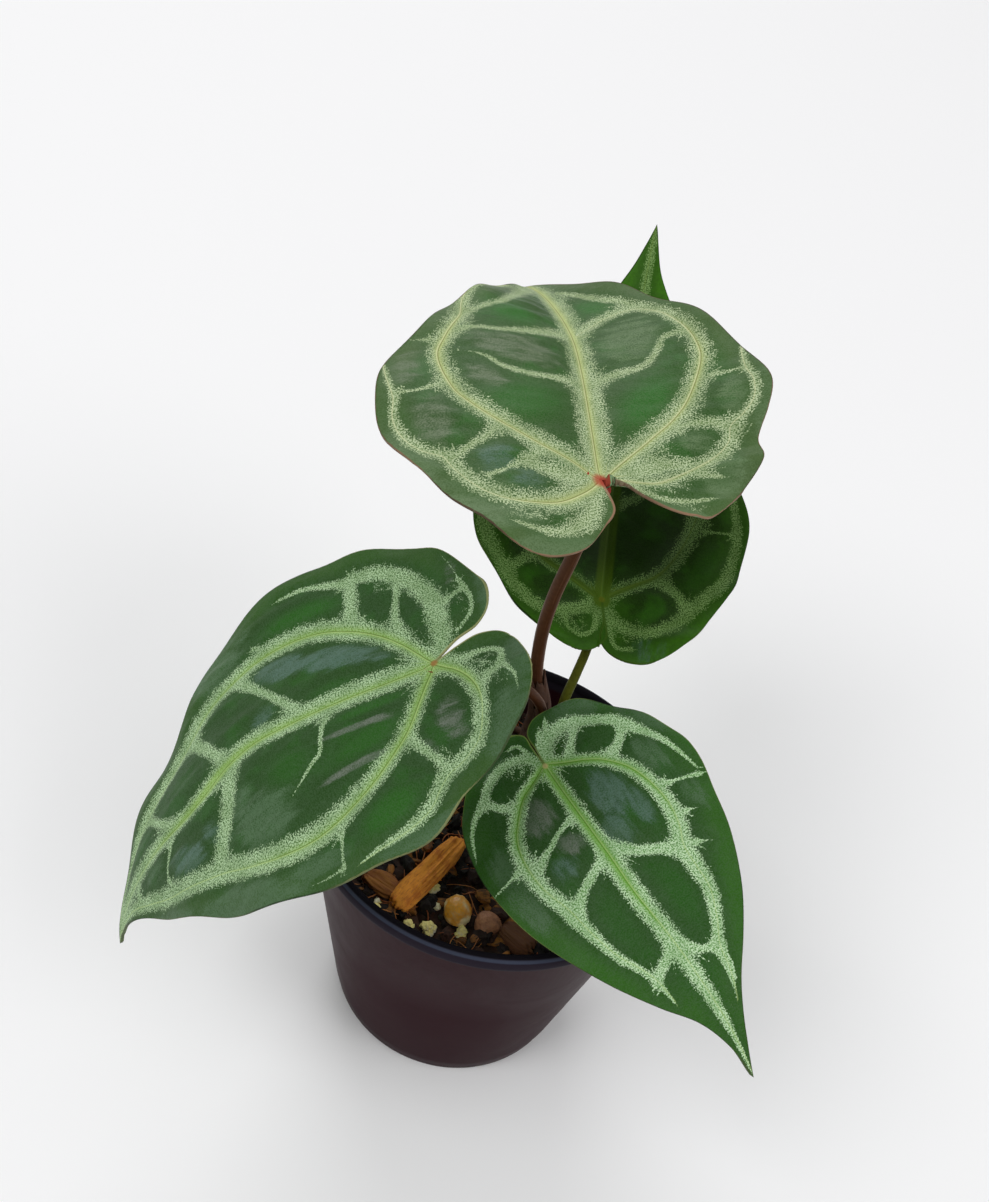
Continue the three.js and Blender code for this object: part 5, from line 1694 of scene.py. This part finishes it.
def blade_tones(leaf):
    """Colours and strengths of each blade's finish: a plain set, and what each blade changes."""
    plain = {key: tuple(getattr(leaf, key)) for key in (
        "velvet", "lush", "grey", "sheen", "plum", "silver", "shade", "rib")}
    plain.update(
        crease=seen(84, 112, 40), deep=seen(34, 70, 14), line=seen(42, 62, 34),
        pale_line=seen(158, 160, 108), margin=seen(58, 90, 36), joint=seen(160, 112, 62),
        ridge=seen(190, 214, 140), core=0.42, glow=0.4, dim=0.0, joint_reach=1.2, line_reach=0.4,
        softness=1.0, drift=(0.5, 0.11, 1.0))
    changes = {
        "top": {
            "velvet": seen(44, 78, 30), "lush": seen(42, 106, 32), "grey": seen(102, 126, 88),
            "plum": seen(112, 124, 100), "silver": seen(200, 216, 174),
            "shade": seen(106, 132, 76), "rib": seen(192, 202, 132), "crease": seen(104, 110, 44),
            "deep": seen(46, 84, 30), "line": seen(74, 50, 42), "pale_line": seen(156, 118, 96),
            "margin": seen(82, 104, 60), "joint": seen(172, 52, 40), "ridge": seen(226, 228, 180),
            "core": 0.55, "glow": 0.45, "joint_reach": 2.8, "line_reach": 0.7, "softness": 1.4,
            "drift": (0.12, 0.42, 1.0),
        },
        # Painted shade: the back blade's darker set stands in for the top blade's shadow over it,
        # and dim paints that shadow over its middle.
        "back": {
            "velvet": seen(22, 46, 2), "lush": seen(50, 108, 14), "grey": seen(60, 96, 34),
            "silver": seen(132, 166, 98), "shade": seen(58, 90, 29), "rib": seen(70, 96, 12),
            "deep": seen(20, 42, 2), "line": seen(30, 56, 10), "pale_line": seen(60, 90, 20),
            "margin": seen(60, 112, 14), "joint": seen(96, 104, 18), "ridge": seen(100, 124, 40),
            "core": 0.9, "dim": 0.68, "softness": 1.1,
        },
        "left": {"silver": seen(192, 220, 176), "shade": seen(88, 124, 66)},
        "front": {
            "velvet": seen(36, 74, 18), "silver": seen(214, 242, 200), "shade": seen(108, 158, 86),
            "rib": seen(118, 172, 62), "crease": seen(84, 136, 36), "pale_line": seen(120, 140, 70),
            "margin": seen(52, 100, 24), "joint": seen(206, 190, 130), "core": 0.7,
            "joint_reach": 1.0, "softness": 0.75,
        },
    }
    return {name: {**plain, **changed} for name, changed in changes.items()}


class ANTHURIUM_OT_blades(bpy.types.Operator):
    """Makes the four heart-shaped blades"""

    bl_idname = "anthurium.blades"
    bl_label = "Leaf Blades"

    def execute(self, context):
        leaf = context.scene.anthurium_leaf
        tones = blade_tones(leaf)
        below = underside_material("leaf underside", leaf)
        for name in BLADES:
            above = leaf_material(f"leaf {name}", tones[name])
            make_leaf(name, leaf, [above, below])
        return {"FINISHED"}


class ANTHURIUM_OT_stalks(bpy.types.Operator):
    """Makes the four leaf stalks with their knees"""

    bl_idname = "anthurium.stalks"
    bl_label = "Leaf Stalks"

    def execute(self, context):
        stalk = context.scene.anthurium_stalk
        # The pale colour and the olive one after it are painted highlights along the stalks'
        # outlines.
        pale, olive_outline_highlight = seen(164, 134, 116), seen(104, 106, 50)
        brown = stalk_material("stalk brown", stalk.brown, stalk.blush, seen(124, 76, 50), pale)
        skins = {
            "top": stalk_material("stalk top", stalk.brown, stalk.blush, seen(168, 52, 38), pale),
            "back": stalk_material("stalk olive", stalk.olive, seen(112, 112, 40),
                                   seen(96, 104, 24), olive_outline_highlight),
            "left": brown,
            "front": brown,
        }
        for name in STALKS:
            make_stalk(name, stalk, skins[name])
        return {"FINISHED"}


class ANTHURIUM_OT_crown(bpy.types.Operator):
    """Makes the crown with its scars, sheaths and roots"""

    bl_idname = "anthurium.crown"
    bl_label = "Crown"

    def execute(self, context):
        make_crown(bark_material("crown bark", seen(92, 60, 40), seen(38, 24, 17)))
        return {"FINISHED"}


class ANTHURIUM_OT_pot(bpy.types.Operator):
    """Makes the moulded nursery pot"""

    bl_idname = "anthurium.pot"
    bl_label = "Pot"

    def execute(self, context):
        pot = context.scene.anthurium_pot
        make_pot(pot, plastic_material("pot plastic", pot))
        return {"FINISHED"}


class ANTHURIUM_OT_mix(bpy.types.Operator):
    """Makes the potting mix with its crumbs, bark bits, fibres and grains"""

    bl_idname = "anthurium.mix"
    bl_label = "Potting Mix"

    def execute(self, context):
        pot, mix = context.scene.anthurium_pot, context.scene.anthurium_mix
        peat = crumb_material("peat", mix.peat, seen(96, 48, 22), 0.4, 0.95)
        coir = crumb_material("coir", mix.coir, seen(206, 140, 74), 0.7, 0.7)
        bark = bark_material("bark bits", scaled(mix.bark, 0.34), mix.peat)
        grain = crumb_material("perlite", mix.perlite, seen(244, 240, 228), 0.8, 0.95)
        make_mix_body(pot, mix, peat)
        make_crumbs(pot, mix, peat)
        make_splinters(pot, mix, bark)
        make_fibres(pot, mix, coir)
        make_grains(pot, mix, grain)
        return {"FINISHED"}


class ANTHURIUM_OT_loose_pieces(bpy.types.Operator):
    """Makes the larger bark chips, pebbles and perlite grains"""

    bl_idname = "anthurium.loose_pieces"
    bl_label = "Loose Pieces"

    def execute(self, context):
        pot, mix = context.scene.anthurium_pot, context.scene.anthurium_mix
        stones = {
            "pebble_ochre": ("ochre pebble", seen(240, 164, 48), seen(244, 226, 178), 0.4),
            "pebble_brown": ("brown pebble", seen(172, 118, 84), seen(118, 78, 56), 0.7),
            "perlite": ("perlite grain", mix.perlite, seen(244, 240, 226), 0.95),
        }
        skins = {slot: pebble_material(*values) for slot, values in stones.items()}
        skins["bark"] = bark_material("bark chip", mix.bark, seen(202, 108, 34))
        for number, name in enumerate(CHIPS):
            make_chip(name, pot, mix, skins[CHIPS[name][3]], number)
        return {"FINISHED"}


class ANTHURIUM_OT_stage(bpy.types.Operator):
    """Makes the floor, the soft lights and the camera"""

    bl_idname = "anthurium.stage"
    bl_label = "Stage"

    def execute(self, context):
        stage = context.scene.anthurium_stage
        make_floor(stage)
        make_lights(context.scene, stage)
        make_camera(context.scene)
        return {"FINISHED"}


def make_floor(stage):
    sheet = bmesh.new()
    bmesh.ops.create_grid(sheet, x_segments=4, y_segments=4, size=FLOOR_HALF)
    material = finish(new_material("pale floor")[0], stage.floor, 0.9, specular=0.1)
    floor = new_object("floor", to_mesh(sheet, "floor", [material]))


# Soft lights: where each stands, its width and its share of the key light.
LIGHTS = {
    "key": ((-1.7, -1.3, 2.8), 2.0, 1.0),
    "window": ((-0.8, 2.8, 2.4), 2.4, 0.9),
    "fill": ((2.2, -0.9, 2.4), 2.0, 0.6),
}
LIGHT_AIM = (0.0, 0.02, 0.12)

# Half the floor's width, and the nearest distance that the camera sees.
FLOOR_HALF = 6.0
NEAREST = 0.01


def make_lights(scene, stage):
    world = bpy.data.worlds.new("surround")
    world.use_nodes = True
    background = world.node_tree.nodes["Background"]
    background.inputs["Color"].default_value = (1.0, 1.0, 1.0, 1.0)
    background.inputs["Strength"].default_value = stage.sky
    scene.world = world
    scene.view_settings.view_transform = "Standard"
    for name, (place, size, part) in LIGHTS.items():
        data = bpy.data.lights.new(name, "AREA")
        data.shape, data.size = "DISK", size
        data.energy = stage.key * part
        lamp = new_object(name, data)
        lamp.location = place
        aim = Vector(LIGHT_AIM) - Vector(place)
        lamp.rotation_euler = aim.to_track_quat("-Z", "Y").to_euler()


def make_camera(scene):
    data = bpy.data.cameras.new("camera")
    data.sensor_width = SENSOR
    data.lens = SENSOR * PHOTO_FOCAL / max(PHOTO_WIDTH, PHOTO_HEIGHT)
    data.clip_start = NEAREST
    right, up = Vector(CAMERA_RIGHT).normalized(), Vector(CAMERA_UP).normalized()
    turn = Matrix((right, up, right.cross(up))).transposed().to_4x4()
    scene.camera = new_object("camera", data)
    scene.camera.matrix_world = Matrix.Translation(CAMERA_AT) @ turn


class ANTHURIUM_PT_panel(bpy.types.Panel):
    """Lists the pieces of the plant"""

    bl_idname = "ANTHURIUM_PT_panel"
    bl_label = "Potted Anthurium"
    bl_space_type = "VIEW_3D"
    bl_region_type = "UI"
    bl_category = "Anthurium"

    def draw(self, context):
        for operator in OPERATORS:
            self.layout.operator(operator.bl_idname)
        for key, group in SETTINGS.items():
            box = self.layout.box()
            for name in group.__annotations__:
                box.prop(getattr(context.scene, key), name)


OPERATORS = (
    ANTHURIUM_OT_stage,
    ANTHURIUM_OT_pot,
    ANTHURIUM_OT_mix,
    ANTHURIUM_OT_loose_pieces,
    ANTHURIUM_OT_crown,
    ANTHURIUM_OT_stalks,
    ANTHURIUM_OT_blades,
)
CLASSES = (*SETTINGS.values(), *OPERATORS, ANTHURIUM_PT_panel)


def register():
    for item in CLASSES:
        bpy.utils.register_class(item)
    for key, group in SETTINGS.items():
        setattr(bpy.types.Scene, key, PointerProperty(type=group))


def unregister():
    for key in SETTINGS:
        delattr(bpy.types.Scene, key)
    for item in reversed(CLASSES):
        bpy.utils.unregister_class(item)


def main():
    register()
    bpy.ops.anthurium.stage()
    bpy.ops.anthurium.pot()
    bpy.ops.anthurium.mix()
    bpy.ops.anthurium.loose_pieces()
    bpy.ops.anthurium.crown()
    bpy.ops.anthurium.stalks()
    bpy.ops.anthurium.blades()
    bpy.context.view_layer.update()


if __name__ == "__main__":
    main()
